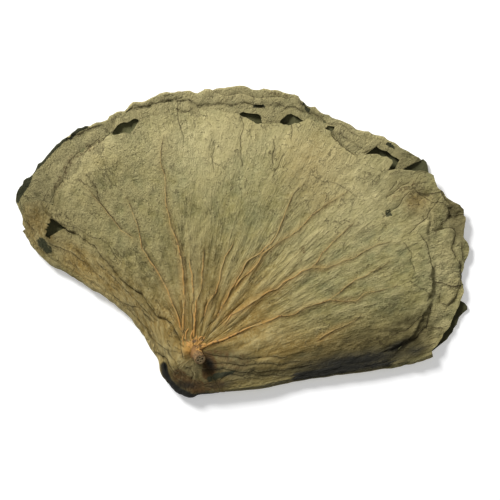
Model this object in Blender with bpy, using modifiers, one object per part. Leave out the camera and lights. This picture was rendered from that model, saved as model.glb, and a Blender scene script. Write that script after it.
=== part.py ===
"""A dried lotus leaf, folded in half with its pale underside out, with the cut stub of its stalk.

Sizes are real ones in millimetres and become metres at the end. They are laid out from the lowest
point of the fold, below the stalk: x to the right, y up the leaf, z up from what the leaf lies on.
A bearing is an angle about the stalk, in degrees from +x, turning towards +y.
"""

import math
from dataclasses import dataclass

import bmesh
import bpy
import numpy as np

MM = 0.001

BLADE_THICKNESS = 0.8
STALK = np.array([4.7, 40.9])

# The fold, from the right end of the folded leaf round the nub below the stalk to the left end.
FOLD_POINTS = (
    (223.2, 37.2),
    (189.7, 28.4),
    (145.1, 22.6),
    (100.4, 14.9),
    (60.0, 7.4),
    (25.6, 4.2),
    (11.0, 2.6),
    (0.0, 0.2),
    (-12.0, 3.2),
    (-22.5, 12.5),
    (-28.5, 23.0),
    (-31.0, 35.3),
    (-44.6, 55.8),
    (-57.0, 74.4),
    (-78.1, 92.0),
    (-111.6, 111.5),
    (-134.0, 126.0),
    (-146.5, 138.6),
    (-156.2, 153.5),
)
RIGHT_CORNER, LEFT_CORNER = 5, 9
FOLD_STEPS = 24
FOLD_REACH = 4.0
FOLD_DEPTH = 4.0
# The angles at which the mesh goes round the fold, from the half on top to the half below.
BEND_STEPS = (90, 60, 30, 0, -30, -60, -90)

# Each margin is a list of (bearing, distance from the stalk), with lobes and small tears.
FRONT_MARGIN = (
    (-1, 218), (5, 242), (10, 256), (15, 256), (20, 271), (25, 276), (30, 278), (34, 272), (37, 276),
    (41, 255), (43.5, 244), (46, 252), (51, 236), (55, 234), (58.5, 240), (65, 231), (72.7, 222),
    (76, 219), (81, 225), (90, 224), (99, 223), (104, 221), (107.5, 213), (111.6, 220), (118, 216),
    (124.8, 208), (130.3, 200), (134.5, 193), (136.5, 204), (139.5, 212), (145, 196),
)
BACK_MARGIN = (
    (-1, 211), (5, 234), (10, 248), (20, 262), (30, 270), (36, 271), (40, 275), (45, 269), (50, 260),
    (55, 255), (60, 252), (65, 250), (70, 255), (75, 251), (80, 250), (85, 245), (90, 240), (97, 243),
    (105, 237), (110, 233), (115, 235), (120, 235), (130, 229), (135, 228), (140, 222), (145, 196),
)
# The rim of the back half is turned over towards the front: (bearing, width turned over).
HEM_WIDTH = (
    (38, 0), (42, 7.8), (47, 10), (49, 10), (52, 29), (57, 24), (61, 24), (64, 26), (66.5, 15), (70, 15),
    (73, 34), (77, 27), (80, 34), (85, 30), (92, 24), (100, 27), (103.5, 22), (106, 10), (110, 10),
    (113, 22), (120, 28), (126, 32), (130, 30), (132.5, 14), (134, 7.6), (137, 0),
)
HEM_BEND = 1.6
HEM_FULL_FROM = 14.0
FLAT_RIM = 6.0
# Where the crumpled rim on the right starts, past a crease: (bearing, distance from the stalk).
RIM_CREASE = (
    (-1, 170), (3.4, 189), (6.4, 201), (10, 212), (15, 226), (21, 232), (27, 237), (30, 245), (34, 262),
)
RIM_DROP = 2.4
CURL_WIDTH = 9.0

FRONT_RIBS = (6, 13.5, 22, 36.5, 47.5, 58, 71.5, 86, 98, 112.5, 124, 135)
BACK_RIBS = (14, 33, 51, 68, 86, 104, 120, 134)
RIB_HEIGHT = 1.9
RIB_STARTS, RIB_FULL = 8.0, 34.0
RIB_HALF_WIDTH = 2.2
PANEL_SAG = 0.9
RIB_FADE = 0.65
PLEAT_BEARING, PLEAT_END, PLEAT_STEP = 135.0, 140.0, 2.0

# Outside these bearings the columns of the mesh crowd together, beside the arms of the fold.
FAN_RIGHT, FAN_LEFT = 25.0, 125.0
CORE_RADIUS = 40.0
CORE_SHARES = (0.12, 0.26, 0.42, 0.6, 0.8)
NUB_MARGIN = 4.0
NUB_STEP = 2.2
BEND_TURN = 30.0
SPAN_RINGS = 12
RIM_RINGS = 6
RIM_CROWDING = 0.8
HEM_BEND_RINGS = 3
ARM_CREASE = {"right": 0.72, "left": 0.9}
ARM_CREASE_BELOW = 0.97

SHEET_REST = 2.3
FRONT_RISE = 7.4
CROWN_RISE = 6.0
CROWN_SPREAD = 75.0
CROWN_OFFSET = np.array([22.0, 34.0])
# Soft waves of the sheets: height, length in x, length in y and phase.
LOWER_WAVE = (0.45, 31, 23, 0.6)
UPPER_WAVES = ((1.0, 34, 27, 0.8), (0.5, 15, 19, 2.1))
HEM_WAVE = (0.4, 17, 13, 0.3)
RIM_WAVE, RIM_WAVE_TURNS = 0.9, 1.1
# Round spots where the underside lies flat on the surface: centre and radius of the flat part.
REST_SPOTS = (((55.0, 142.0), 32.0), ((152.0, 88.0), 28.0), ((-70.0, 150.0), 24.0), ((80.0, 222.0), 24.0))
REST_BLEND = 18.0

STUB_RADIUS = 4.4
STUB_LENGTH = 13.0
STUB_SUNK = 1.2
FLARE_RADIUS, FLARE_NECK = 8.5, 4.8
FLARE_HEIGHT, FLARE_MIDDLE = 4.6, 0.9
STUB_SIDES, CHANNEL_SIDES = 18, 8
STUB_LEAN = math.radians(28)
STUB_HEADING = math.radians(-55)
# The air channels in the cut end: distance from its middle, angle round it and radius.
AIR_CHANNELS = ((1.6, 0, 1.0), (1.7, 95, 0.8), (1.6, 185, 1.0), (1.7, 275, 0.8))
AIR_CHANNEL_DEPTH = 5.0
CUTTER_EXCESS = 2.0

TEAR_CENTRE = (-126.5, 156.5)
TEAR_RADIUS = 11.5
TEAR_TURN = math.radians(12)
TEAR_FROM, TEAR_TO = 4.9, 24.0

COLOUR = (0.26, 0.23, 0.12)
ROUGHNESS = 0.75


def curve_through(points, steps):
    """A smooth curve through the points, sampled steps times a span."""
    knots = np.array([points[0], *points, points[-1]], float)
    share = np.linspace(0, 1, steps, endpoint=False)[:, None]
    spans = []
    for a, b, c, d in zip(knots, knots[1:], knots[2:], knots[3:]):
        spans.append(
            0.5
            * (
                2 * b
                + (c - a) * share
                + (2 * a - 5 * b + 4 * c - d) * share**2
                + (3 * b - a - 3 * c + d) * share**3
            )
        )
    return np.vstack([*spans, knots[-1:]])


def read_curve(pairs, at):
    """The value of a curve given by (position, value) pairs, held level past its ends."""
    where, value = zip(*pairs)
    return float(np.interp(at, where, value))


def smooth_step(low, high, value):
    share = min(max((value - low) / (high - low), 0.0), 1.0)
    return share * share * (3 - 2 * share)


def towards(bearing):
    return np.array([math.cos(math.radians(bearing)), math.sin(math.radians(bearing))])


class Fold:
    """The line along which the leaf is folded, measured along its length."""

    def __init__(self):
        self.line = curve_through(FOLD_POINTS, FOLD_STEPS)
        runs = np.linalg.norm(np.diff(self.line, axis=0), axis=1)
        self.length = np.concatenate([[0], np.cumsum(runs)])
        self.right_corner = self.length[RIGHT_CORNER * FOLD_STEPS]
        self.left_corner = self.length[LEFT_CORNER * FOLD_STEPS]
        self.end = self.length[-1]

    def on_line(self, at):
        return np.array([np.interp(at, self.length, self.line[:, axis]) for axis in (0, 1)])

    def point(self, at, inward=0.0):
        """The point at this length, moved into the leaf by inward."""
        near, far = max(at - FOLD_REACH, 0), min(at + FOLD_REACH, self.end)
        ahead = self.on_line(far) - self.on_line(near)
        ahead /= np.linalg.norm(ahead)
        return self.on_line(at) + inward * np.array([ahead[1], -ahead[0]])

    def on_arm(self, side, share, inward=0.0):
        """A point along the right or left arm: share 0 is its corner by the nub, 1 its far end."""
        if side == "right":
            return self.point(self.right_corner * (1 - share), inward)
        return self.point(self.left_corner + (self.end - self.left_corner) * share, inward)

    def bow(self, side, share):
        """How far the arm bows from a straight line between its two ends."""
        first, last = self.on_arm(side, 0, FOLD_DEPTH), self.on_arm(side, 1, FOLD_DEPTH)
        return self.on_arm(side, share, FOLD_DEPTH) - (1 - share) * first - share * last


def wave(spot, height, length_x, length_y, phase):
    return height * math.sin(spot[0] / length_x + phase) * math.sin(spot[1] / length_y + 1.7 * phase)


def lower_sheet(spot):
    """Height of the half that lies below, with the round spots where it rests flat."""
    flat = 0.0
    for centre, radius in REST_SPOTS:
        away = math.dist(spot, centre)
        flat = max(flat, 1 - smooth_step(radius, radius + REST_BLEND, away))
    raised = BLADE_THICKNESS / 2 + SHEET_REST + wave(spot, *LOWER_WAVE)
    return flat * BLADE_THICKNESS / 2 + (1 - flat) * raised, flat


def upper_sheet(spot):
    """Height of the half that lies on top, which bulges over the stalk's root."""
    away = np.linalg.norm(spot - STALK - CROWN_OFFSET)
    crown = CROWN_RISE * math.exp(-((away / CROWN_SPREAD) ** 2))
    return SHEET_REST + FRONT_RISE + crown + sum(wave(spot, *values) for values in UPPER_WAVES)


@dataclass
class Column:
    """One line of the mesh from the stalk's root out to the margin."""

    half: str
    bearing: float = 0.0
    lift: float = 0.0
    foot: float = 0.0
    side: str = ""
    bend: float = 0.0


def rib_columns(half, ribs):
    """The columns for these ribs: foot, crest and foot, with a sagging one between two ribs."""
    found = []
    edges = [FRONT_MARGIN[0][0], *ribs, FRONT_MARGIN[-1][0]]
    for before, rib, after in zip(edges, edges[1:], edges[2:]):
        if not found:
            found.append(Column(half, (before + rib) / 2, -0.5 * PANEL_SAG))
        found += [
            Column(half, rib, foot=-RIB_HALF_WIDTH),
            Column(half, rib, lift=RIB_HEIGHT),
            Column(half, rib, foot=RIB_HALF_WIDTH),
            Column(half, (rib + after) / 2, lift=-PANEL_SAG),
        ]
    return found


def all_columns():
    """The columns once round the leaf: front from right to left, over the fold, back, and over again."""
    columns = rib_columns("front", FRONT_RIBS)
    columns += [Column("bend", side="left", bend=bend) for bend in BEND_STEPS]
    columns += reversed(rib_columns("back", BACK_RIBS))
    columns += [Column("bend", side="right", bend=bend) for bend in reversed(BEND_STEPS)]
    return columns


def shifted(bearing, distance, sideways):
    """A point at this bearing and distance from the stalk, moved sideways towards higher bearings."""
    return STALK + distance * towards(bearing) + sideways * towards(bearing + 90)


def front_plan(fold, column, run):
    """The plan point of a front column after this run from the stalk, and the column's full run."""
    bearing = column.bearing
    right = max(FAN_RIGHT - bearing, 0) / (FAN_RIGHT - FRONT_MARGIN[0][0])
    left = max(bearing - FAN_LEFT, 0) / (FRONT_MARGIN[-1][0] - FAN_LEFT)
    start = shifted(min(max(bearing, FAN_RIGHT), FAN_LEFT), CORE_RADIUS, 0)
    for side, share in (("right", right), ("left", left)):
        start = start + share * (fold.on_arm(side, 0, FOLD_DEPTH) - start)
    radius = np.linalg.norm(start - STALK)
    sideways = np.array([STALK[1] - start[1], start[0] - STALK[0]]) / radius
    start = start + column.foot * sideways
    stop = shifted(bearing, read_curve(FRONT_MARGIN, bearing), column.foot)
    total = radius + np.linalg.norm(stop - start)
    if run <= radius:
        return STALK + (start - STALK) * run / radius, total
    share = (run - radius) / (total - radius)
    spot = (1 - share) * start + share * stop
    return spot + right * fold.bow("right", share) + left * fold.bow("left", share), total


def rise_at_rib(lift, run, share):
    """A rib starts near the stalk and fades towards the margin, as the sag between ribs grows."""
    if lift > 0:
        return lift * (1 - RIB_FADE * share) * smooth_step(RIB_STARTS, RIB_FULL, run)
    return lift * smooth_step(0.1, 0.5, share)


def crease_run(bearing):
    """Where a front column's last stretch starts: at the crease on the right, else near the margin."""
    edge = read_curve(FRONT_MARGIN, bearing)
    if bearing <= RIM_CREASE[-1][0]:
        return min(read_curve(RIM_CREASE, bearing), edge - CURL_WIDTH) / edge
    return (edge - CURL_WIDTH) / edge


def ring_runs(inner, total, crease):
    """The runs of all rings of a column: the core, the strip by the nub, the span and the rim."""
    runs = [share * inner for share in CORE_SHARES]
    runs += [inner + NUB_STEP * step for step in range(len(BEND_STEPS))]
    start, stop = runs[-1], total * crease
    runs += [start + (stop - start) * (step + 1) / SPAN_RINGS for step in range(SPAN_RINGS)]
    steps = range(1, RIM_RINGS + 1)
    return runs + [stop + (total - stop) * (step / RIM_RINGS) ** RIM_CROWDING for step in steps]


def front_points(fold, column):
    _, total = front_plan(fold, column, 0)
    points = []
    crease = crease_run(column.bearing)
    for run in ring_runs(CORE_RADIUS - NUB_MARGIN, total, crease):
        spot, _ = front_plan(fold, column, run)
        share = run / total
        height = upper_sheet(spot) + rise_at_rib(column.lift, run, share)
        if column.bearing <= RIM_CREASE[-1][0]:
            past_crease = smooth_step(crease, crease + 0.02, share)
            height -= RIM_DROP * past_crease * smooth_step(FRONT_MARGIN[0][0], 5, column.bearing)
            crumple = RIM_WAVE * math.sin(column.bearing * RIM_WAVE_TURNS)
            height += crumple * smooth_step(crease, 1, share)
        if column.bearing >= PLEAT_BEARING:
            beyond = smooth_step(PLEAT_END, FRONT_MARGIN[-1][0], column.bearing)
            height -= PLEAT_STEP * smooth_step(0.25, 0.4, share) * (1 - beyond)
        points.append((*spot, height))
    return points


def bend_points(fold, column):
    """A column that runs round the fold's corner and then lies along one arm of the fold."""
    corner = fold.right_corner if column.side == "right" else fold.left_corner
    arm = corner if column.side == "right" else fold.end - corner
    root = fold.point(corner, FOLD_DEPTH)
    inner = np.linalg.norm(root - STALK)
    turned = (90 - column.bend) / 180
    crease = ARM_CREASE[column.side] * (1 - turned) + ARM_CREASE_BELOW * turned
    bending = NUB_STEP * (90 - column.bend) / BEND_TURN
    points = []
    for run in ring_runs(inner, inner + arm, crease):
        if run <= inner:
            points.append(core_point(root, run / inner))
            continue
        angle = max(90 - BEND_TURN * (run - inner) / NUB_STEP, column.bend)
        slide = max(run - inner - bending, 0) / (arm - bending)
        spot = fold.on_arm(column.side, min(slide, 1), fold_inward(angle))
        points.append((*spot, fold_height(spot, angle)))
    return points


def core_point(root, share):
    """A point of the half on top, this share of the way from the stalk to the root of the fold."""
    spot = STALK + (root - STALK) * share
    return (*spot, upper_sheet(spot))


def fold_inward(angle):
    """How far inside the fold's outermost line the blade is at this angle round the fold."""
    return FOLD_DEPTH * (1 - math.cos(math.radians(angle)))


def fold_height(spot, angle):
    low, _ = lower_sheet(spot)
    high = upper_sheet(spot)
    return low + (high - low) * (1 + math.sin(math.radians(angle))) / 2


def back_points(fold, column):
    """A column that passes under the nub and runs up the half below, to the rim that is turned over."""
    low, high = BACK_MARGIN[0][0], BACK_MARGIN[-1][0]
    left = (column.bearing - low) / (high - low)
    at = fold.right_corner + (fold.left_corner - fold.right_corner) * left + column.foot / 2
    root = fold.point(at, FOLD_DEPTH)
    inner = np.linalg.norm(root - STALK)
    width = read_curve(HEM_WIDTH, column.bearing)
    turned = smooth_step(0, HEM_FULL_FROM, width)
    flat = FLAT_RIM * (1 - turned)
    outward = towards(column.bearing)
    margin = read_curve(BACK_MARGIN, column.bearing)
    stop = shifted(column.bearing, margin - flat - HEM_BEND * turned, column.foot)
    points = []
    inner_rings = len(CORE_SHARES) + len(BEND_STEPS)
    for run in ring_runs(inner, math.dist(stop, STALK), 1)[:inner_rings]:
        if run <= inner:
            points.append(core_point(root, run / inner))
            continue
        angle = 90 - BEND_TURN * (run - inner) / NUB_STEP
        spot = fold.point(at, fold_inward(angle))
        points.append((*spot, fold_height(spot, angle)))
    for step in range(1, SPAN_RINGS + 1):
        share = step / SPAN_RINGS
        spot = (1 - share) * root + share * stop
        spot = spot + (1 - left) * fold.bow("right", share) + left * fold.bow("left", share)
        height, flat_here = lower_sheet(spot)
        height -= rise_at_rib(column.lift, RIB_FULL * 4 * share, share) * (1 - flat_here)
        points.append((*spot, height))
    base = points[-1][2]
    for step in range(1, RIM_RINGS + 1):
        share = step / RIM_RINGS
        around = math.pi * turned * min(step / HEM_BEND_RINGS, 1)
        straight = max(step - HEM_BEND_RINGS, 0) / (RIM_RINGS - HEM_BEND_RINGS) * width * turned
        out = flat * share + HEM_BEND * math.sin(around) + straight * math.cos(around)
        up = HEM_BEND * (1 - math.cos(around)) + straight * math.sin(around)
        up += turned * share * wave(stop, *HEM_WAVE)
        points.append((*(stop + out * outward), base + up))
    return points


def blade_points():
    """Every point of the blade's middle surface, by column and ring, starting at the stalk's root."""
    fold = Fold()
    makers = {"front": front_points, "bend": bend_points, "back": back_points}
    root = (*STALK, upper_sheet(STALK))
    return [[root, *makers[column.half](fold, column)] for column in all_columns()]


def material(name, colour, roughness):
    made = bpy.data.materials.new(name)
    made.use_nodes = True
    shader = made.node_tree.nodes["Principled BSDF"]
    shader.inputs["Base Color"].default_value = (*colour, 1)
    shader.inputs["Roughness"].default_value = roughness
    shader.inputs["Metallic"].default_value = 0.0
    return made


def move_to(obj, collection):
    for other in list(obj.users_collection):
        other.objects.unlink(obj)
    collection.objects.link(obj)


def make_blade(rows, collection):
    """A flat grid, one line of it for each column and ring, set to the leaf's points and thickened."""
    columns, rings = len(rows), len(rows[0])
    bpy.ops.mesh.primitive_grid_add(x_subdivisions=columns, y_subdivisions=rings - 1, size=2)
    blade = bpy.context.object
    blade.name = "lotus_leaf"
    for vertex in blade.data.vertices:
        column = round((vertex.co.x + 1) / 2 * columns) % columns
        ring = round((vertex.co.y + 1) / 2 * (rings - 1))
        vertex.co = [value * MM for value in rows[column][ring]]
    mesh = bmesh.new()
    mesh.from_mesh(blade.data)
    bmesh.ops.remove_doubles(mesh, verts=mesh.verts, dist=1e-6)
    bmesh.ops.dissolve_degenerate(mesh, edges=mesh.edges, dist=1e-7)
    bmesh.ops.recalc_face_normals(mesh, faces=mesh.faces)
    mesh.to_mesh(blade.data)
    mesh.free()
    blade.modifiers.new("split", "TRIANGULATE")
    thicken = blade.modifiers.new("thickness", "SOLIDIFY")
    thicken.thickness = BLADE_THICKNESS * MM
    thicken.offset = 0
    move_to(blade, collection)
    return blade


def combine(obj, operation, other):
    change = obj.modifiers.new(f"{operation.lower()} {other.name}", "BOOLEAN")
    change.operation = operation
    change.object = other
    change.solver = "EXACT"


def make_stub(blade, height, guides):
    """The cut end of the stalk: a round stem on a flared root, leaning, with air channels in its end."""
    lean = (math.sin(STUB_LEAN) * math.cos(STUB_HEADING), math.sin(STUB_LEAN) * math.sin(STUB_HEADING))
    axis = np.array([*lean, math.cos(STUB_LEAN)])
    turn = (0, STUB_LEAN, STUB_HEADING)
    base = np.array([*STALK, height])

    def place(along, across=0.0, around=0.0):
        side = np.array([math.sin(STUB_HEADING), -math.cos(STUB_HEADING), 0])
        other = np.cross(axis, side)
        spot = base + along * axis + across * (math.cos(around) * side + math.sin(around) * other)
        return [value * MM for value in spot]

    bpy.ops.mesh.primitive_cylinder_add(
        vertices=STUB_SIDES,
        radius=STUB_RADIUS * MM,
        depth=STUB_LENGTH * MM,
        location=place(STUB_LENGTH / 2 - STUB_SUNK),
        rotation=turn,
    )
    stem = bpy.context.object
    stem.name = "stub_stem"
    bpy.ops.mesh.primitive_cone_add(
        vertices=STUB_SIDES,
        radius1=FLARE_RADIUS * MM,
        radius2=FLARE_NECK * MM,
        depth=FLARE_HEIGHT * MM,
        location=place(FLARE_MIDDLE),
        rotation=turn,
    )
    flare = bpy.context.object
    flare.name = "stub_flare"
    for piece in (flare, stem):
        combine(blade, "UNION", piece)
    cutters = []
    middle = STUB_LENGTH - STUB_SUNK + (CUTTER_EXCESS - AIR_CHANNEL_DEPTH) / 2
    for number, (across, around, radius) in enumerate(AIR_CHANNELS, 1):
        bpy.ops.mesh.primitive_cylinder_add(
            vertices=CHANNEL_SIDES,
            radius=radius * MM,
            depth=(AIR_CHANNEL_DEPTH + CUTTER_EXCESS) * MM,
            location=place(middle, across, math.radians(around)),
            rotation=turn,
        )
        channel = bpy.context.object
        channel.name = f"air_channel_{number}"
        combine(blade, "DIFFERENCE", channel)
        cutters.append(channel)
    for piece in (stem, flare, *cutters):
        hide(piece, guides)
    return [stem, flare, *cutters]


def make_tear(blade, guides):
    """A three-cornered tear through the half on top, near its left end."""
    bpy.ops.mesh.primitive_cylinder_add(
        vertices=3,
        radius=TEAR_RADIUS * MM,
        depth=(TEAR_TO - TEAR_FROM) * MM,
        location=(TEAR_CENTRE[0] * MM, TEAR_CENTRE[1] * MM, (TEAR_FROM + TEAR_TO) / 2 * MM),
        rotation=(0, 0, TEAR_TURN),
    )
    tear = bpy.context.object
    tear.name = "tear"
    combine(blade, "DIFFERENCE", tear)
    hide(tear, guides)
    return tear


def hide(obj, collection):
    obj.hide_render = True
    obj.display_type = "WIRE"
    move_to(obj, collection)


def main():
    for obj in list(bpy.data.objects):
        bpy.data.objects.remove(obj, do_unlink=True)
    parts = bpy.data.collections.new("dried_lotus_leaf")
    guides = bpy.data.collections.new("cutters")
    for collection in (parts, guides):
        bpy.context.scene.collection.children.link(collection)

    rows = blade_points()
    blade = make_blade(rows, parts)
    helpers = make_stub(blade, rows[0][0][2], guides)
    helpers.append(make_tear(blade, guides))
    blade.data.materials.append(material("dried_leaf", COLOUR, ROUGHNESS))

    spots = np.array([spot for row in rows for spot in row])
    centre = bpy.data.objects.new("origin", None)
    parts.objects.link(centre)
    middle = (spots.min(axis=0) + spots.max(axis=0)) / 2
    centre.location = (-middle[0] * MM, -middle[1] * MM, 0)
    for obj in (blade, *helpers):
        obj.parent = centre


if __name__ == "__main__":
    main()
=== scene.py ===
"""Looks for one dried lotus leaf: a round blade folded in half, pale underside out, and its cut stalk.

Plan places are in millimetres from the lowest point of the fold, below the stalk: x to the right,
y up the leaf. A bearing is an angle about the stalk, in degrees from +x, turning towards +y.
The outline, the fold and the heights of the two halves are those of the part's source. This
script adds what drying does to them: creases, crepe, veins, torn rims and colour.
"""

import logging
import math
from dataclasses import dataclass, fields
from enum import Enum
from typing import Any, Optional, Sequence, Union

import bpy
import numpy as np
from mathutils import Matrix, Vector
from mathutils.bvhtree import BVHTree


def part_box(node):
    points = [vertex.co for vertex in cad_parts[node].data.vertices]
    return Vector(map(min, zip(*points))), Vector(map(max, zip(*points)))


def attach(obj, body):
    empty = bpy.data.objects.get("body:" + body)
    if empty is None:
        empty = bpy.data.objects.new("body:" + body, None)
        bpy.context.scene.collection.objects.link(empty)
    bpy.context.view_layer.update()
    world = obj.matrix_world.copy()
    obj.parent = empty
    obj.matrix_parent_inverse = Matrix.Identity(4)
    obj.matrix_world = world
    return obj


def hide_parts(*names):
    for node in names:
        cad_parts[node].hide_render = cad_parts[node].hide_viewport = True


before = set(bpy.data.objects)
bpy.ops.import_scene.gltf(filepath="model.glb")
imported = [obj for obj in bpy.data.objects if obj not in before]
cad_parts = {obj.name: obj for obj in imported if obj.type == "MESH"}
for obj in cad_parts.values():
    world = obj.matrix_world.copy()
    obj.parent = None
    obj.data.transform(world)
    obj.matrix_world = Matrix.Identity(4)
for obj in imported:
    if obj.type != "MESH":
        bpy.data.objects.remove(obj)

LOG = logging.getLogger("lotus_leaf")
Array = np.ndarray
Pairs = Sequence[tuple[float, float]]
Piece = bpy.types.Object
Socket = bpy.types.NodeSocket

MM = 0.001
NODE = "lotus_leaf"
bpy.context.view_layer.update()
# The lowest point of the fold from the leaf's left end and front edge.
LEFT_REACH, FOLD_CLEARANCE = 164.6, 0.2
BLADE_THICKNESS = 0.5
LOWEST = 0.3
# A distance past the whole leaf, and one that counts as none.
FAR, TINY = 999.0, 1e-9


def smooth(low: float, high: float, value: Array) -> Array:
    """Rises softly from 0 at low to 1 at high."""
    share = np.clip((value - low) / (high - low), 0.0, 1.0)
    return share * share * (3 - 2 * share)


def between(rise: tuple[float, float], fall: tuple[float, float], value: Array) -> Array:
    """Rises softly from 0 to 1 over one stretch, and falls back over a later one."""
    return smooth(*rise, value) * (1 - smooth(*fall, value))


def towards(bearing: Array) -> Array:
    """The unit vector of a bearing in degrees."""
    angle = np.radians(bearing)
    return np.stack([np.cos(angle), np.sin(angle)], axis=-1)


def lifted(plan: Array, height: Array) -> Array:
    """The plan places with their heights."""
    return np.concatenate([plan, np.broadcast_to(height, plan.shape[:-1])[..., None]], axis=-1)


def part_way(share: Array, first: Array, last: Array) -> Array:
    """The places at these shares of the way from first to last."""
    return (1 - share)[..., None] * first + share[..., None] * last


def along_curve(pairs: Pairs, at: Array) -> Array:
    """A curve given by (position, value) pairs, held level past its ends."""
    where, value = zip(*pairs)
    return np.interp(at, where, value)


def passed_along(points: Array) -> Array:
    """The length of a line of points up to each of them."""
    return np.concatenate([[0], np.cumsum(np.linalg.norm(np.diff(points, axis=0), axis=1))])


def curve_through(points: Pairs, steps: int) -> Array:
    """A smooth curve through the points, sampled steps times a span.

    Args:
        points: the points that the curve passes.
        steps: samples between two points.

    Returns:
        The samples, one point a row.
    """
    knots = np.array([points[0], *points, points[-1]], float)
    share = np.linspace(0, 1, steps, endpoint=False)[:, None]
    spans = []
    for a, b, c, d in zip(knots, knots[1:], knots[2:], knots[3:]):
        bend = (2 * a - 5 * b + 4 * c - d) * share**2 + (3 * b - a - 3 * c + d) * share**3
        spans.append(0.5 * (2 * b + (c - a) * share + bend))
    return np.vstack([*spans, knots[-1:]])


class Side(Enum):
    """The two arms of the fold, either side of the nub below the stalk."""

    RIGHT = "right"
    LEFT = "left"


class Noise:
    """Seeded gradient noise over a plane, between about -1 and 1."""

    def __init__(self, seed: int, period: tuple[int, int] = (128, 128)) -> None:
        """Draws the surface's lean at each lattice point; it repeats after the period's cells."""
        turns = np.random.default_rng(seed).uniform(0, 2 * np.pi, period)
        self.period, self.lean = period, np.stack([np.cos(turns), np.sin(turns)], axis=-1)

    def at(self, x: Array, y: Array) -> Array:
        """The noise at places given in cells.

        Args:
            x: places across.
            y: places up, as many.

        Returns:
            The noise there.
        """
        column, row = np.floor(x).astype(int), np.floor(y).astype(int)
        part_x, part_y = x - column, y - row

        def corner(step_x: int, step_y: int) -> Array:
            """The slope felt from one corner of each place's cell."""
            lean = self.lean[(column + step_x) % self.period[0], (row + step_y) % self.period[1]]
            return lean[..., 0] * (part_x - step_x) + lean[..., 1] * (part_y - step_y)

        share_x, share_y = smooth(0, 1, part_x), smooth(0, 1, part_y)
        low = corner(0, 0) * (1 - share_x) + corner(1, 0) * share_x
        high = corner(0, 1) * (1 - share_x) + corner(1, 1) * share_x
        return 1.5 * (low * (1 - share_y) + high * share_y)

    def along(self, x: Array) -> Array:
        """The noise along a line across the lattice."""
        return self.at(x, 0 * x + 0.5)


@dataclass(frozen=True)
class Trace:
    """A line drawn on the folded leaf's plan."""

    points: Pairs

    def measure(self, plan: Array, reach: float = FAR) -> tuple[Array, Array]:
        """How far plan places are from the line.

        Args:
            plan: the places, x and y last.
            reach: places further off than this aren't measured.

        Returns:
            The distance, positive to the line's left, and the share of its length that is nearest.
        """
        corners = np.array(self.points, float)
        passed = passed_along(corners)
        signed, share = np.full(plan.shape[:-1], FAR), np.zeros(plan.shape[:-1])
        inside = np.all((plan > corners.min(axis=0) - reach) & (plan < corners.max(axis=0) + reach), axis=-1)
        near = plan[inside]
        best, side_best, share_best = np.full(len(near), FAR), np.ones(len(near)), np.zeros(len(near))
        for start, stop, length, before in zip(corners, corners[1:], np.diff(passed), passed):
            ahead = (stop - start) / length
            offset = near - start
            along = np.clip(offset @ ahead, 0, length)
            distance = np.linalg.norm(offset - along[:, None] * ahead, axis=-1)
            side = np.where(ahead[0] * offset[:, 1] > ahead[1] * offset[:, 0], 1.0, -1.0)
            closer = distance < best
            side_best = np.where(closer, side, side_best)
            share_best = np.where(closer, (before + along) / passed[-1], share_best)
            best = np.minimum(best, distance)
        signed[inside], share[inside] = best * side_best, share_best
        return signed, share


@dataclass(frozen=True)
class Vein(Trace):
    """A raised rib that shows on the half on top."""

    width: float = 1.0
    height: float = 0.5
    glow: float = 1.0


@dataclass(frozen=True)
class Crease(Trace):
    """A crack, a fold or the edge of a lapped layer; step is how much higher its left side stands."""

    depth: float = 0.5
    step: float = 0.0
    # dark sets how strongly the crease is painted: shade along its line and low side, highlight on its high
    # side.
    dark: float = 0.7

    # The groove's width, the step's softness, the low side's run-out, and what is measured.
    WIDTH, EDGE, LAP, REACH = 1.3, 0.7, 9, 30

    def relief(self, signed: Array, share: Array) -> Array:
        """How the crease changes the blade's height.

        Args:
            signed: the signed distance from it.
            share: the share of its length.

        Returns:
            The change.
        """
        ends = between((0, 0.08), (0.92, 1), share)
        groove = self.depth * np.exp(-((signed / self.WIDTH) ** 2))
        lower = smooth(-self.EDGE, self.EDGE, -np.sign(self.step) * signed)
        return -ends * (groove + abs(self.step) * (lower * np.exp(-np.abs(signed) / self.LAP)))


@dataclass(frozen=True)
class Smear(Trace):
    """A dark or stained streak along a line."""

    width: float = 3.0
    amount: float = 1.0

    # The share of the width that is felt in full.
    CORE = 0.45

    def at(self, plan: Array) -> Array:
        """How strongly the place is felt at the plan points."""
        signed, _ = self.measure(plan, 2 * self.width)
        return self.amount * (1 - smooth(self.CORE * self.width, self.width, np.abs(signed)))


@dataclass(frozen=True)
class Hole:
    """A hole torn in the blade, by its corners on the plan."""

    corners: Pairs
    lift: float = 0.0

    def measure(self, plan: Array) -> tuple[Array, Array, Array]:
        """Where plan places are from the hole's edge.

        Args:
            plan: the places, x and y last.

        Returns:
            Whether each is inside, its distance from the edge, and the edge's nearest point.
        """
        corners = np.array(self.corners, float)
        inside = np.zeros(plan.shape[:-1], bool)
        best, nearest = np.full(plan.shape[:-1], FAR), np.zeros_like(plan)
        for start, stop in zip(corners, np.roll(corners, -1, axis=0)):
            run = stop - start
            share = np.clip(((plan - start) @ run) / (run @ run), 0, 1)[..., None]
            spot = start + share * run
            distance = np.linalg.norm(plan - spot, axis=-1)
            nearest = np.where((distance < best)[..., None], spot, nearest)
            best = np.minimum(best, distance)
            crosses = (start[1] > plan[..., 1]) != (stop[1] > plan[..., 1])
            rise = run[1] or TINY
            inside ^= crosses & (plan[..., 0] < run[0] * (plan[..., 1] - start[1]) / rise + start[0])
        return inside, best, nearest


@dataclass(frozen=True)
class Patch(Hole):
    """A dark or stained place with a clear edge."""

    amount: float = 1.0
    soft: float = 1.0

    def at(self, plan: Array) -> Array:
        """How strongly the place is felt at the plan points."""
        inside, away, _ = self.measure(plan)
        return self.amount * smooth(-self.soft, self.soft, np.where(inside, away, -away))


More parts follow.
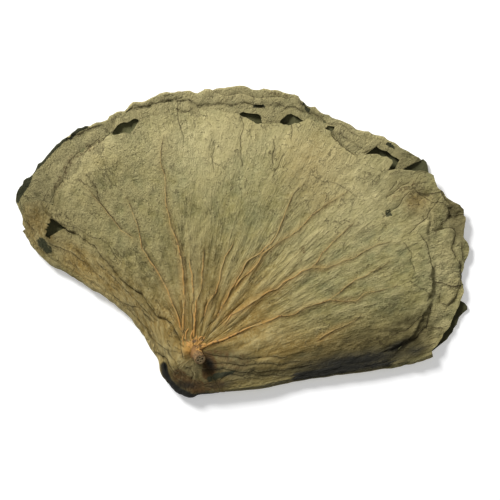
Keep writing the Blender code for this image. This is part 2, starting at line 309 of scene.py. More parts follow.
class Fold:
    """The line along which the leaf is folded, read by the length along it."""

    POINTS = (
        (223.2, 37.2), (189.7, 28.4), (145.1, 22.6), (100.4, 14.9), (60, 7.4), (25.6, 4.2), (11, 2.6),
        (0, 0.2), (-12, 3.2), (-22.5, 12.5), (-28.5, 23), (-31, 35.3), (-44.6, 55.8), (-57, 74.4),
        (-78.1, 92), (-111.6, 111.5), (-134, 126), (-146.5, 138.6), (-156.2, 153.5),
    )
    # Which points are the nub's corners, and the samples between two points.
    CORNERS, STEPS = (5, 9), 24
    # How far to each side a line's direction is taken, and how far inside it the blade turns.
    REACH, DEPTH = 4, 4

    def __init__(self) -> None:
        """Samples the line and finds its length."""
        self.line = curve_through(self.POINTS, self.STEPS)
        self.length = passed_along(self.line)
        self.right_corner, self.left_corner = (self.length[corner * self.STEPS] for corner in self.CORNERS)
        self.end = self.length[-1]

    def on_line(self, at: Array) -> Array:
        """The points at these lengths along the line."""
        return np.stack([np.interp(at, self.length, self.line[:, axis]) for axis in (0, 1)], axis=-1)

    def point(self, at: Array, inward: Union[Array, float] = 0.0) -> Array:
        """Points on the line, or inside it.

        Args:
            at: their lengths along it.
            inward: how far inside each is.

        Returns:
            The plan points.
        """
        at = np.asarray(at, float)
        beyond, behind = np.minimum(at + self.REACH, self.end), np.maximum(at - self.REACH, 0)
        ahead = self.on_line(beyond) - self.on_line(behind)
        ahead = ahead / np.linalg.norm(ahead, axis=-1, keepdims=True)
        across = np.stack([ahead[..., 1], -ahead[..., 0]], axis=-1)
        return self.on_line(at) + np.asarray(inward, float)[..., None] * across

    def on_arm(self, side: Side, share: Array, inward: Union[Array, float] = 0.0) -> Array:
        """Points on an arm of the fold, or inside it.

        Args:
            side: which arm.
            share: 0 at the corner by the nub and 1 at the far end.
            inward: how far inside each is.

        Returns:
            The plan points.
        """
        share = np.asarray(share, float)
        if side is Side.RIGHT:
            return self.point(self.right_corner * (1 - share), inward)
        return self.point(self.left_corner + (self.end - self.left_corner) * share, inward)

    def bow(self, side: Side, share: Array) -> Array:
        """How far an arm bows from the straight line between its ends, at these shares of it."""
        first, last = self.on_arm(side, 0, self.DEPTH), self.on_arm(side, 1, self.DEPTH)
        return self.on_arm(side, share, self.DEPTH) - part_way(share, first, last)

    def inward(self, angle: Array) -> Array:
        """How far inside the fold's outer line the blade is, at this angle round the fold."""
        return self.DEPTH * (1 - np.cos(np.radians(angle)))


class Sheets:
    """The heights at which the two halves of the folded leaf lie."""

    STALK = np.array([4.7, 40.9])
    # How high the half below lies where it doesn't rest, and the half on top above it.
    REST, RISE = 2.3, 7.4
    # The bulge on top: its middle from the stalk, its height and its reach.
    CROWN, CROWN_RISE, CROWN_SPREAD = (22, 34), 6, 75
    MIDDLE = 0.4
    # Round places where the underside rests: x, y and radius.
    REST_SPOTS = ((55, 142, 32), (152, 88, 28), (-70, 150, 24), (80, 222, 24))
    REST_BLEND = 18
    # Swells: height, length in x and in y, and phase.
    LOWER_WAVE = (0.45, 31, 23, 0.6)
    UPPER_WAVES = ((1, 34, 27, 0.8), (0.5, 15, 19, 2.1))

    @staticmethod
    def wave(spot: Array, height: float, length_x: float, length_y: float, phase: float) -> Array:
        """A soft swell of the blade at the plan places."""
        across = np.sin(spot[..., 0] / length_x + phase)
        return height * across * np.sin(spot[..., 1] / length_y + 1.7 * phase)

    def resting(self, spot: Array) -> Array:
        """How flat the underside lies.

        Args:
            spot: plan places.

        Returns:
            From 0 to 1 at each place.
        """
        flat = np.zeros(spot.shape[:-1])
        for x, y, radius in self.REST_SPOTS:
            away = np.hypot(spot[..., 0] - x, spot[..., 1] - y)
            flat = np.maximum(flat, 1 - smooth(radius, radius + self.REST_BLEND, away))
        return flat

    def lower(self, spot: Array) -> Array:
        """The height of the half that lies below."""
        flat = self.resting(spot)
        return self.MIDDLE + (1 - flat) * (self.REST + self.wave(spot, *self.LOWER_WAVE))

    def upper(self, spot: Array) -> Array:
        """The half on top, which bulges over the stalk's root.

        Args:
            spot: plan places.

        Returns:
            Its height at each place.
        """
        away = np.linalg.norm(spot - self.STALK - np.array(self.CROWN), axis=-1)
        crown = self.CROWN_RISE * np.exp(-((away / self.CROWN_SPREAD) ** 2))
        return self.REST + self.RISE + crown + sum(self.wave(spot, *wave) for wave in self.UPPER_WAVES)

    def round_fold(self, spot: Array, angle: Array) -> Array:
        """The height between the halves, at an angle round the fold from 90 on top to -90 below."""
        low, high = self.lower(spot), self.upper(spot)
        return low + (high - low) * (1 + np.sin(np.radians(angle))) / 2


def bearing_of(spots: Array) -> Array:
    """The bearings of plan places about the stalk, between -180 and 180."""
    offset = spots[..., :2] - Sheets.STALK
    return np.degrees(np.arctan2(offset[..., 1], offset[..., 0]))


@dataclass(frozen=True)
class Rings:
    """How the rings of the grid are spread, from the stalk's root out to the rim."""

    core: int = 18
    nub: int = 12
    span: int = 102
    rim: int = 30
    nub_run: float = 13.2

    def runs(self, inner: Array, total: Array, crease: Array) -> Array:
        """The runs of the rings.

        Args:
            inner: each column's run to the nub.
            total: each column's full run.
            crease: the share of it at which the last stretch starts.

        Returns:
            One row a column.
        """
        inner, total, crease = (np.asarray(value, float)[:, None] for value in (inner, total, crease))
        begin, stop = inner + self.nub_run, total * crease
        core = inner * np.arange(self.core) / self.core
        nub = inner + self.nub_run * np.arange(self.nub + 1) / self.nub
        span = begin + (stop - begin) * np.arange(1, self.span + 1) / self.span
        rim = stop + (total - stop) * np.arange(1, self.rim + 1) / self.rim
        return np.hstack([core, nub, span, rim])


@dataclass
class Strip:
    """Neighbouring columns of the leaf's grid, each from the stalk's root out to the rim."""

    # The nub's middle as a bearing, and where the nub fades, to its sides and along the run.
    NUB_MIDDLE, NUB_SIDES, NUB_RUN = -97, (33, 51), (60, 75)
    ROOT_RUN = (36, 50)

    spots: Array
    turn: Array
    front: Array

    @staticmethod
    def joined(strips: Sequence["Strip"]) -> "Strip":
        """The strips side by side, as one."""
        return Strip(*(np.concatenate([getattr(s, kept.name) for s in strips]) for kept in fields(Strip)))

    def columns(self, first: int, stop: Optional[int]) -> "Strip":
        """Some of the strip's columns, as a strip."""
        return Strip(self.spots[first:stop], self.turn[first:stop], self.front[first:stop])

    def nub(self) -> Array:
        """Where the strip is part of the nub below the stalk, from 0 to 1."""
        aside = np.abs((bearing_of(self.spots) - self.NUB_MIDDLE + 180) % 360 - 180)
        return (1 - smooth(*self.NUB_SIDES, aside)) * (1 - smooth(*self.NUB_RUN, self.runs()))

    def top(self) -> Array:
        """Where the strip lies on top or round the stalk's root, from 0 to 1."""
        return np.maximum(self.front[:, None], 1 - smooth(*self.ROOT_RUN, self.runs()))

    def runs(self) -> Array:
        """The distance of every point from the stalk's root, along its column."""
        steps = np.linalg.norm(np.diff(self.spots, axis=1), axis=-1)
        return np.concatenate([np.zeros((len(steps), 1)), np.cumsum(steps, axis=1)], axis=1)

    def normals(self) -> Array:
        """Which way the leaf's pale underside faces.

        Returns:
            The unit normals, outwards.
        """
        across = np.gradient(self.spots, axis=0)
        outward = np.gradient(self.spots, axis=1)
        normal = np.cross(outward, across)
        size = np.linalg.norm(normal, axis=-1, keepdims=True)
        upright = np.broadcast_to(np.array([0.0, 0.0, 1.0]), normal.shape)
        return np.where(size > TINY, normal / np.maximum(size, TINY), upright)


class LeafPlan:
    """The folded leaf's outline and the smooth form of both halves."""

    FRONT_MARGIN = (
        (-1, 212), (2, 222), (5, 232), (8, 241), (10, 247), (13, 252), (15, 255), (17, 258), (19, 265),
        (22, 270), (23.3, 268.5), (25, 273), (28, 281), (29, 279), (30.3, 274.5), (33, 273), (35, 271),
        (37, 276), (38.4, 271), (40, 262), (42.4, 252), (43.7, 244), (44.2, 253), (46, 251), (48.7, 245),
        (51, 236), (55, 234), (58.5, 240), (64.3, 239), (66.4, 232.5), (67.6, 229), (70, 227), (72.7, 222),
        (76.8, 219.5), (81, 225), (90, 224), (99, 223), (104, 221), (107.3, 212.5), (110, 214.5),
        (113, 220), (118, 216), (124.8, 208), (130.3, 200), (134.5, 193), (136.5, 204), (139.5, 212),
        (145, 196),
    )
    BACK_MARGIN = (
        (-1, 214), (3, 233), (5, 239), (8, 246), (9, 252), (10, 254), (11, 249), (20, 260), (30, 269),
        (36, 271), (40, 275), (45, 269), (50, 260), (55, 255), (60, 252), (65, 250), (70, 255), (75, 251),
        (80, 250), (85, 245), (90, 240), (97, 243), (105, 236), (110, 231), (115, 233), (120, 234),
        (130, 227), (133, 224), (135, 227), (140, 222), (145, 196),
    )
    HEM_WIDTH = (
        (38.3, 0), (38.8, 2), (40.4, 4), (41.3, 9), (41.7, 24), (42.6, 25), (43.2, 10), (44.6, 8.7),
        (46.6, 8), (49, 8.2), (49.8, 22), (52, 29), (57, 24), (61, 24), (64, 27), (65, 13), (67.3, 13),
        (69, 16.5), (70, 22), (70.8, 34), (72.5, 34), (74.2, 29), (75, 22.5), (77.3, 20.5), (79.8, 22),
        (80.6, 34), (85, 30), (92, 24), (100, 27), (103.6, 24), (104.4, 11), (107, 8.5), (110, 9.5),
        (111.6, 12), (112.2, 22), (113, 26), (117, 33), (126, 35), (130, 35), (134, 33), (138, 26),
        (141, 14),
    )
    RIM_CREASE = (
        (-1, 170), (3.4, 189), (6.4, 201), (10, 212), (15, 226), (21, 232), (27, 237), (30, 245), (34, 262),
    )
    # Columns of the grid on top, below, and round each arm of the fold.
    COLUMNS = (250, 170, 13)
    # Bearings of the fold's ends, of the last columns and of the straight ones.
    BEARINGS = (-1, 145)
    FRONT_BEARINGS = (0.6, 143.6)
    BACK_BEARINGS = (3, 141)
    FAN = (25, 125)
    CORE_RADIUS, NUB_MARGIN, CURL_WIDTH = 40, 4, 9
    # How far the right rim sinks past its crease, over which share of the run, and where.
    RIM_DROP, RIM_SHARE, RIM_BEARINGS = 2.4, 0.015, ((-1, 5), (28, 34))
    # How far the edge on top bends down over the turned rim, here and to the left, and where.
    EDGE_DROP, LEFT_EDGE_DROP, EDGE_SHARES = 1.6, 2.7, (0.86, 1)
    EDGE_BEARINGS, LEFT_BEARINGS = ((38, 46), (128, 135)), (108, 116)
    HEM_BEND, HEM_FULL_FROM, HEM_BEND_RINGS, FLAT_RIM = 1.6, 8, 10, 6
    # The turn of the columns round an arm of the fold, and that of the whole leaf.
    FOLD_TURN, FULL_TURN = 4, 300
    # The rim's lobes and teeth: their length in degrees and their height.
    LOBES, TEETH, TATTER_FADE = (2.6, 2), (0.9, 1.3), 5
    # By how much and where the rim is more worn or more even.
    WORN, EVEN = (0.7, (108, 114), (134, 138)), (-0.75, (114, 120), (133, 136))
    # The share of even steps against even bearings.
    EVEN_SHARE = 0.6
    # The share of an arm's run where its last stretch starts: below, on top right and on top left.
    ARM_CREASES = (0.97, 0.72, 0.9)

    def __init__(self) -> None:
        """Gets the fold, the halves' heights, the rings and the noises of the torn rims."""
        self.fold, self.sheets, self.rings = Fold(), Sheets(), Rings()
        self.ragged = tuple(Noise(seed) for seed in (3, 4, 5, 6))

    def tatter(self, bearing: Array, coarse: Noise, fine: Noise) -> Array:
        """The lobes and teeth of a dry rim, gone at the ends of the fold.

        Args:
            bearing: bearings on the rim.
            coarse: the noise of the lobes.
            fine: that of the teeth.

        Returns:
            How far the rim stands out there.
        """
        low, high = self.BEARINGS
        faded = between((low, low + self.TATTER_FADE), (high - self.TATTER_FADE, high), bearing)
        sizes = ((coarse, self.LOBES), (fine, self.TEETH))
        return faded * sum(height * noise.along(bearing / length) for noise, (length, height) in sizes)

    def margin(self, top: bool, bearing: Array) -> Array:
        """How far a half reaches from the stalk.

        Args:
            top: whether it is the half on top.
            bearing: bearings on its rim.

        Returns:
            The distances.
        """
        rim, (share, *where) = (self.FRONT_MARGIN, self.WORN) if top else (self.BACK_MARGIN, self.EVEN)
        torn = self.tatter(bearing, *(self.ragged[:2] if top else self.ragged[2:]))
        return along_curve(rim, bearing) + (1 + share * between(*where, bearing)) * torn

    def even_bearings(self, margin: Pairs, limits: tuple[float, float], count: int) -> Array:
        """Bearings that cut a margin into about even steps.

        Args:
            margin: its (bearing, distance) pairs.
            limits: the first and last bearing.
            count: how many there are.

        Returns:
            The bearings.
        """
        fine = np.linspace(*limits, 2000)
        run = passed_along(along_curve(margin, fine)[:, None] * towards(fine))
        even = np.interp(np.linspace(0, run[-1], count), run, fine)
        return self.EVEN_SHARE * even + (1 - self.EVEN_SHARE) * np.linspace(*limits, count)

    def pulls(self, bearing: Array) -> tuple[tuple[Side, Array], ...]:
        """How strongly each arm of the fold draws the columns to it.

        Args:
            bearing: one bearing a column.

        Returns:
            Each arm with its pull, from 0 to 1.
        """
        (first, last), (low, high) = self.BEARINGS, self.FAN
        return (
            (Side.RIGHT, np.clip((low - bearing) / (low - first), 0, 1)),
            (Side.LEFT, np.clip((bearing - high) / (last - high), 0, 1)),
        )

    def front_columns(self, bearing: Array) -> tuple[Array, Array, Array, Array]:
        """Where the columns on top pass the core and where they end.

        Args:
            bearing: one bearing a column.

        Returns:
            Each column's core radius and full run, and the plan points at the end of each.
        """
        stalk = self.sheets.STALK
        start = stalk + self.CORE_RADIUS * towards(np.clip(bearing, *self.FAN))
        for side, pull in self.pulls(bearing):
            corner = self.fold.on_arm(side, 0, self.fold.DEPTH)
            start = start + pull[:, None] * (corner - start)
        stop = stalk + self.margin(True, bearing)[:, None] * towards(bearing)
        radius = np.linalg.norm(start - stalk, axis=1)
        return radius, radius + np.linalg.norm(stop - start, axis=1), start, stop

    def front(self) -> Strip:
        """The half on top.

        Returns:
            Its columns, from the right arm of the fold to the left one.
        """
        bearing = self.even_bearings(self.FRONT_MARGIN, self.FRONT_BEARINGS, self.COLUMNS[0])
        edge = along_curve(self.FRONT_MARGIN, bearing)
        right, curl = bearing <= self.RIM_CREASE[-1][0], edge - self.CURL_WIDTH
        crease = np.where(right, np.minimum(along_curve(self.RIM_CREASE, bearing), curl), curl) / edge
        radius, total, start, stop = self.front_columns(bearing)
        inner = np.full(len(bearing), self.CORE_RADIUS - self.NUB_MARGIN)
        run = self.rings.runs(inner, total, crease)
        out = np.clip((run - radius[:, None]) / (total - radius)[:, None], 0, 1)
        span = part_way(out, start[:, None], stop[:, None])
        for side, pull in self.pulls(bearing):
            span = span + pull[:, None, None] * self.fold.bow(side, out)
        stalk, reached = self.sheets.STALK, np.clip(run / radius[:, None], 0, 1)[..., None]
        plan = np.where(reached < 1, stalk + (start - stalk)[:, None] * reached, span)
        share = run / total[:, None]
        past = smooth(crease[:, None], crease[:, None] + self.RIM_SHARE, share)
        rim_drop = self.RIM_DROP * right * between(*self.RIM_BEARINGS, bearing)
        edge_drop = self.EDGE_DROP + self.LEFT_EDGE_DROP * smooth(*self.LEFT_BEARINGS, bearing)
        edge_drop = edge_drop * between(*self.EDGE_BEARINGS, bearing)
        height = self.sheets.upper(plan) - rim_drop[:, None] * past
        height = height - edge_drop[:, None] * smooth(*self.EDGE_SHARES, share)
        return Strip(lifted(plan, height), bearing, np.ones(len(bearing)))

    def bend(self, side: Side) -> Strip:
        """The columns that turn round one arm of the fold.

        Args:
            side: which arm.

        Returns:
            The columns, from on top to below.
        """
        count = self.COLUMNS[2]
        bend, turning = np.linspace(90, -90, count), np.linspace(0, self.FOLD_TURN, count)
        fold, stalk = self.fold, self.sheets.STALK
        below, right, left = self.ARM_CREASES
        if side is Side.RIGHT:
            corner, arm, on_top = fold.right_corner, fold.right_corner, right
            turn = self.FULL_TURN + self.BEARINGS[0] - turning
        else:
            corner, arm, on_top = fold.left_corner, fold.end - fold.left_corner, left
            turn = self.BEARINGS[1] + turning
        root = fold.point(corner, fold.DEPTH)
        inner = np.full(count, np.linalg.norm(root - stalk))
        run = self.rings.runs(inner, inner + arm, np.interp(bend, (-90, 90), (below, on_top)))
        inner, bend = inner[:, None], bend[:, None]
        bending = self.rings.nub_run * (90 - bend) / 180
        angle = np.maximum(90 - 180 * (run - inner) / self.rings.nub_run, bend)
        slide = np.clip((run - inner - bending) / (arm - bending), 0, 1)
        outer = fold.on_arm(side, slide, fold.inward(angle))
        core = stalk + (root - stalk) * (run / inner)[..., None]
        plan = np.where((run <= inner)[..., None], core, outer)
        height = np.where(run <= inner, self.sheets.upper(plan), self.sheets.round_fold(plan, angle))
        return Strip(lifted(plan, height), turn, np.linspace(1, 0, count))

    def back(self) -> Strip:
        """The half below with its rim turned over.

        Returns:
            Its columns, from the left arm of the fold to the right one.
        """
        bearing = self.even_bearings(self.BACK_MARGIN, self.BACK_BEARINGS, self.COLUMNS[1])[::-1]
        fold, rings, stalk = self.fold, self.rings, self.sheets.STALK
        left = (bearing - self.BEARINGS[0]) / (self.BEARINGS[1] - self.BEARINGS[0])
        at = fold.right_corner + (fold.left_corner - fold.right_corner) * left
        root = fold.point(at, fold.DEPTH)
        width = along_curve(self.HEM_WIDTH, bearing)
        turned = smooth(0, self.HEM_FULL_FROM, width)
        flat = self.FLAT_RIM * (1 - turned)
        reach = self.margin(False, bearing) - flat - self.HEM_BEND * turned
        stop = stalk + reach[:, None] * towards(bearing)

        core = stalk + (root - stalk)[:, None] * (np.arange(rings.core) / rings.core)[None, :, None]
        core = lifted(core, self.sheets.upper(core))
        angle = np.broadcast_to(90 - 180 * np.arange(rings.nub + 1) / rings.nub, (len(at), rings.nub + 1))
        nub = fold.point(np.broadcast_to(at[:, None], angle.shape), fold.inward(angle))
        nub = lifted(nub, self.sheets.round_fold(nub, angle))

        share = np.broadcast_to(np.arange(1, rings.span + 1) / rings.span, (len(at), rings.span))
        span = part_way(share, root[:, None], stop[:, None])
        span = span + part_way(left[:, None], fold.bow(Side.RIGHT, share), fold.bow(Side.LEFT, share))
        span = lifted(span, self.sheets.lower(span))

        step = np.arange(1, rings.rim + 1)
        around = np.pi * turned[:, None] * np.minimum(step / self.HEM_BEND_RINGS, 1)
        straight = np.clip((step - self.HEM_BEND_RINGS) / (rings.rim - self.HEM_BEND_RINGS), 0, 1)
        straight = straight * (width * turned)[:, None]
        level = flat[:, None] * step / rings.rim
        out = level + self.HEM_BEND * np.sin(around) + straight * np.cos(around)
        up = self.HEM_BEND * (1 - np.cos(around)) + straight * np.sin(around)
        rim = lifted(stop[:, None] + out[..., None] * towards(bearing)[:, None], span[:, -1:, 2] + up)
        turn = self.BEARINGS[1] + self.FOLD_TURN + self.BEARINGS[1] - bearing
        return Strip(np.concatenate([core, nub, span, rim], axis=1), turn, np.zeros(len(bearing)))


class Lines:
    """The ribs, creases, laps and tears that can be seen on the folded leaf."""

    VEINS = tuple(Vein(*row) for row in (
        (((2, 55), (3, 71), (1, 88), (1, 113), (-2, 126), (-3, 128)), 1, 0.6, 0.5),
        (((-8, 61), (-7, 88), (-7, 104), (-9, 126), (-12, 138), (-19, 158), (-24, 180), (-25, 204),
          (-29, 217), (-29, 228), (-27, 240)), 1, 0.7, 0.9),
        (((3, 71), (4, 88), (9, 101), (10, 116), (11, 136)), 0.9, 0.5, 0.4),
        (((11, 74), (16, 88), (22, 96), (26, 109), (27, 118), (31, 130), (37, 139), (39, 144)),
          0.9, 0.6, 0.4),
        (((24, 75), (30, 87), (36, 99), (46, 116), (51, 125), (65, 135), (73, 142), (80, 153), (85, 166),
          (89, 178), (94, 189), (103, 197)), 1, 0.7, 0.7),
        (((40, 102), (46, 110), (59, 120), (66, 132), (75, 140), (86, 147), (98, 154), (108, 165), (121, 176),
          (124, 186)), 1.1, 0.8, 1),
        (((121, 176), (134, 184), (143, 190)), 0.8, 0.4, 0.7),
        (((31, 69), (36, 76), (46, 81), (60, 90), (71, 98), (79, 100), (88, 108), (102, 116), (111, 120),
          (115, 124), (121, 133), (132, 145), (142, 154), (149, 161)), 1.1, 0.8, 1),
        (((111, 120), (124, 119), (138, 125), (149, 129), (160, 135), (171, 141), (183, 144)), 0.8, 0.5, 0.8),
        (((11, 47), (31, 54), (46, 61), (57, 66), (73, 71), (80, 75), (95, 77), (106, 84), (128, 90),
          (139, 99), (151, 109), (159, 111), (176, 121), (181, 125)), 1.1, 0.8, 0.9),
        (((128, 90), (143, 89), (153, 90), (161, 96), (174, 99), (188, 103)), 0.8, 0.5, 0.8),
        (((118, 54), (133, 63), (148, 69), (155, 75)), 0.9, 0.6, 0.9),
        (((-8, 61), (-22, 99), (-30, 114), (-37, 124), (-46, 138), (-51, 162), (-60, 183)), 0.9, 0.6, 0.6),
        (((-53, 146), (-65, 154), (-82, 175), (-103, 200)), 0.7, 0.4, 0.3),
    ))
    # Neighbours are in different sets, so that each set's distances stay clear.
    CREASES = tuple(Crease(*row) for row in (
        (((1, 89), (1, 78), (2, 69), (1, 56), (0, 52)), 0.7, 0, 0.9),
        (((29, 86), (25, 76), (20, 71), (15, 65)), 0.5, 0, 0.8),
        (((63, 71), (46, 61), (29, 53), (14, 47)), 0.5, 0, 0.6),
        (((14, 31), (26, 31), (39, 31), (52, 30), (63, 29), (100, 32)), 0.7, 0.8, 0.9),
        (((13, 14), (26, 16), (36, 20), (46, 20), (63, 21), (91, 20)), 0.8, 0.8, 1),
        (((33, 7), (43, 10), (63, 12), (100, 16)), 0.4, 0, 0.5),
        (((-31, 42), (-26, 37), (-22, 33), (-17, 24), (-8, 21), (-2, 20)), 0.8, 1.4, 0.9),
        (((4, 15), (10, 10), (20, 9)), 0.6, 0, 0.8), (((-13, 28), (-8, 23), (-10, 16)), 0.5, 0, 0.6),
        (((-129, 141), (-121, 138), (-112, 133), (-100, 125), (-89, 115), (-82, 110)), 0.7, 0.8, 0.9),
        (((-76, 99), (-65, 86), (-52, 74), (-39, 61)),),
        (((-100, 145), (-86, 134), (-69, 115), (-56, 100), (-43, 89)), 0.4, 0, 0.5),
        (((-164, 171), (-154, 163), (-147, 158), (-143, 151), (-145, 148)), 0.7, 0.7, 0.6),
        (((-130, 166), (-135, 173), (-138, 179), (-132, 190)), 0.5, 0.5, 0.6),
        (((-94, 204), (-88, 192), (-85, 181), (-80, 173), (-74, 167)), 0.5, 0, 0.9),
        (((-76, 259), (-67, 264), (-55, 267), (-38, 271), (-28, 273), (-14, 275), (-1, 274)), 0.8, 1.7, 0.9),
        (((-14, 265), (-11, 263), (-5, 264), (-2, 265)), 0.8, 0, 1.2),
        (((21, 282), (32, 278), (45, 281), (61, 277), (76, 278), (91, 276)), 0.5, -1),
        (((78, 272), (86, 268), (97, 269), (106, 264), (117, 259)), 0.6, 1.4),
        (((46, 258), (48, 251), (47, 241), (46, 229), (46, 214)), 0.5, 0, 0.8),
        (((76, 237), (77, 228), (74, 217)),),
        (((129, 244), (134, 237), (141, 231), (149, 225), (154, 222)), 0.8, -1.5, 1),
        (((190, 198), (185, 193)), 0.6, 0, 1), (((205, 193), (197, 185), (190, 177), (179, 167)), 0.6, 0.5),
        (((206, 192), (216, 183), (225, 179), (232, 179)), 0.6, 0.5),
        (((238, 179), (237, 175), (239, 168), (236, 164), (230, 160), (227, 154)), 0.8, -2.4, 1),
        (((230, 194), (232, 186), (236, 181), (242, 177)), 0.7, -1.7, 0.9),
        (((224, 106), (232, 105), (241, 103), (252, 103)), 1, 1, 1.2),
        (((249, 140), (251, 130), (252, 120)), 0.7, -1, 1),
        (((218, 62), (223, 63), (228, 63), (232, 63)), 0.9, 0.8, 1),
        (((212, 149), (218, 140), (220, 130), (221, 124), (223, 118), (224, 108), (224, 99), (221, 93),
          (218, 88)), 1, -2, 0.9),
        (((221, 81), (219, 71), (216, 63), (209, 56), (201, 52), (189, 46), (175, 40)), 1, -1.4, 1.1),
        (((-62, 86), (-47, 82), (-40, 74), (-34, 70)), 0.8, 0.8, 0.9),
        (((22, 233), (21, 219), (20, 210)), 0.4, 0, 0.6),
        (((-130, 166), (-117, 156), (-108, 151), (-98, 146), (-89, 138), (-74, 119), (-47, 93), (-40, 86),
          (-31, 74), (-25, 71), (-19, 68), (-15, 62), (-11, 55), (-10, 44), (-7, 39)), 1, 2.4, 1),
    ))
    MORE_CREASES = tuple(Crease(*row) for row in (
        (((-8, 89), (-8, 81), (-8, 70), (-8, 63)),), (((16, 87), (14, 81), (9, 72), (7, 67)), 0.5, 0, 0.8),
        (((48, 89), (35, 76), (24, 64), (13, 53)), 0.5, 0, 0.6),
        (((13, 42), (20, 39), (33, 37), (46, 36), (65, 36), (86, 38)), 0.7, 0.8, 0.8),
        (((7, 27), (16, 25), (26, 26), (33, 25), (46, 23), (65, 23), (110, 28)), 0.7, 1, 0.9),
        (((29, 12), (43, 16), (63, 17), (100, 20), (138, 26)), 0.5, 0, 0.6),
        (((-39, 58), (-33, 51), (-26, 45), (-20, 38), (-15, 33)), 0.6),
        (((-4, 29), (1, 24), (3, 21), (1, 13)), 0.7, 0.7, 0.9),
        (((-20, 26), (-15, 18), (-8, 12), (-6, 6)), 0.6),
        (((-119, 160), (-106, 156), (-94, 150), (-82, 146), (-74, 136), (-67, 125)), 0.5, 0, 0.6),
        (((-87, 125), (-74, 112), (-61, 98), (-48, 86), (-37, 73)), 0.6, 0.5),
        (((-153, 168), (-145, 165), (-138, 161), (-140, 152)), 0.5, 0, 0.4),
        (((-160, 189), (-161, 182), (-162, 176)), 0.5, 0.8, 0.6),
        (((-105, 201), (-96, 195), (-88, 189)), 0.4, 0, 0.6),
        (((-82, 242), (-88, 237), (-97, 231), (-103, 227), (-112, 220), (-116, 211), (-120, 199), (-128, 186),
          (-133, 177)), 0.6, -0.7, 0.6),
        (((-14, 274), (-13, 270), (-14, 265)), 0.4),
        (((-1, 274), (7, 270), (21, 272), (37, 270), (53, 272), (65, 269), (78, 272)), 0.7, 1.5),
        (((100, 275), (105, 269), (111, 264)), 0.6, 0, 0.9),
        (((112, 262), (121, 258), (128, 254), (141, 250), (153, 243)), 0.6, 1.2),
        (((71, 255), (77, 254), (83, 255)), 0.6, 0, 1.2),
        (((-37, 280), (-30, 276), (-19, 279), (-7, 276)), 0.5, 0.5, 0.5),
        (((-118, 238), (-108, 243), (-96, 248), (-84, 251)), 0.8, 1.4, 1.2),
        (((-70, 246), (-78, 242), (-84, 236), (-92, 233), (-98, 227)), 0.6, 0.6, 0.9),
        (((-13, 262), (-11, 257), (-9, 246), (-8, 239)),), (((86, 225), (80, 216), (77, 209)),),
        (((93, 252), (93, 246), (91, 238)), 0.4, 0, 0.6),
        (((138, 242), (149, 236), (158, 229), (166, 223)), 0.6, 0.8, 0.6),
        (((201, 198), (192, 194), (181, 184)), 0.8, 0.5, 1),
        (((211, 188), (218, 185), (224, 187), (230, 190)), 0.8, 1.5, 1),
        (((230, 183), (223, 174), (214, 164), (207, 157), (202, 151)), 0.8, 0.7, 0.9),
        (((223, 154), (231, 155), (243, 156), (245, 151), (244, 144), (242, 137), (245, 128), (248, 120),
          (249, 110), (249, 103)), 0.8, -2.2, 1),
        (((249, 103), (247, 96), (242, 90), (236, 85), (230, 87), (231, 93)), 0.8, -1.7, 0.9),
        (((239, 169), (247, 168), (257, 170)), 0.8, 1.4, 1.1),
        (((221, 86), (217, 80), (211, 74), (205, 68), (198, 62), (188, 58)), 0.8, -1, 0.8),
        (((203, 42), (212, 44), (220, 46), (225, 50)), 0.7, 0.7, 0.8),
        (((197, 141), (203, 134), (202, 125), (206, 117)), 0.5, 0.3),
        (((206, 104), (212, 99), (219, 96)), 0.5, 0.3, 0.6),
        (((112, 206), (123, 198), (134, 198), (140, 194), (148, 189), (154, 184)), 0.4, 0, 0.5),
    ))
    FRONT_HOLES = (
        Hole(((-129.3, 165.5), (-117.2, 156.2), (-136.7, 145.1)), 0.8),
    )
    HEM_HOLES = (
        Hole(((125.5, 251), (134.5, 250), (129, 245), (125, 247.5)), 0.3),
        Hole(((58, 270.5), (66, 270.5), (62, 267)), 0.2),
    )


@dataclass(frozen=True)
class HiddenRibs:
    """The ribs of the half below, which run along its columns and fork on their way to the rim."""

    count: int = 15
    # The first ring, the ring to stop before, and the step.
    rings: tuple[int, int, int] = (33, 128, 5)
    fork: float = 0.4
    wander: float = 1.6

    def traces(self, back: Strip) -> list[Vein]:
        """Draws the ribs on the plan.

        Args:
            back: the half below.

        Returns:
            The ribs, each followed by its branch.
        """
        draw = np.random.default_rng(81)
        rings = np.arange(*self.rings)
        gap = len(back.turn) / self.count
        made = []
        for middle in (np.arange(self.count) + 0.5) * gap:
            way = middle + np.cumsum(draw.uniform(-self.wander, self.wander, len(rings)))
            fork = int(len(rings) * (self.fork + draw.uniform(-0.12, 0.2)))
            parted = np.linspace(0, 0.5 * gap * draw.choice((-1, 1)), len(rings) - fork)
            for first, columns, width, height in ((0, way, 1.0, 0.7), (fork, way[fork:] + parted, 0.8, 0.5)):
                nearest = np.clip(np.rint(columns).astype(int), 0, len(back.turn) - 1)
                spots = back.spots[nearest, rings[first:], :2]
                made.append(Vein(spots, width, height, 0.7))
        return made


@dataclass(frozen=True)
class Blot:
    """A soft-edged round or long place on the plan."""

    centre: tuple[float, float]
    radii: tuple[float, float]
    turn: float = 0.0
    amount: float = 1.0

    def at(self, plan: Array) -> Array:
        """How strongly the place is felt.

        Args:
            plan: plan points.

        Returns:
            The amount at each point.
        """
        offset = plan - np.array(self.centre)
        ahead, across = towards(self.turn), towards(self.turn + 90)
        away = np.hypot(offset @ ahead / self.radii[0], offset @ across / self.radii[1])
        return self.amount * np.exp(-(away**2))


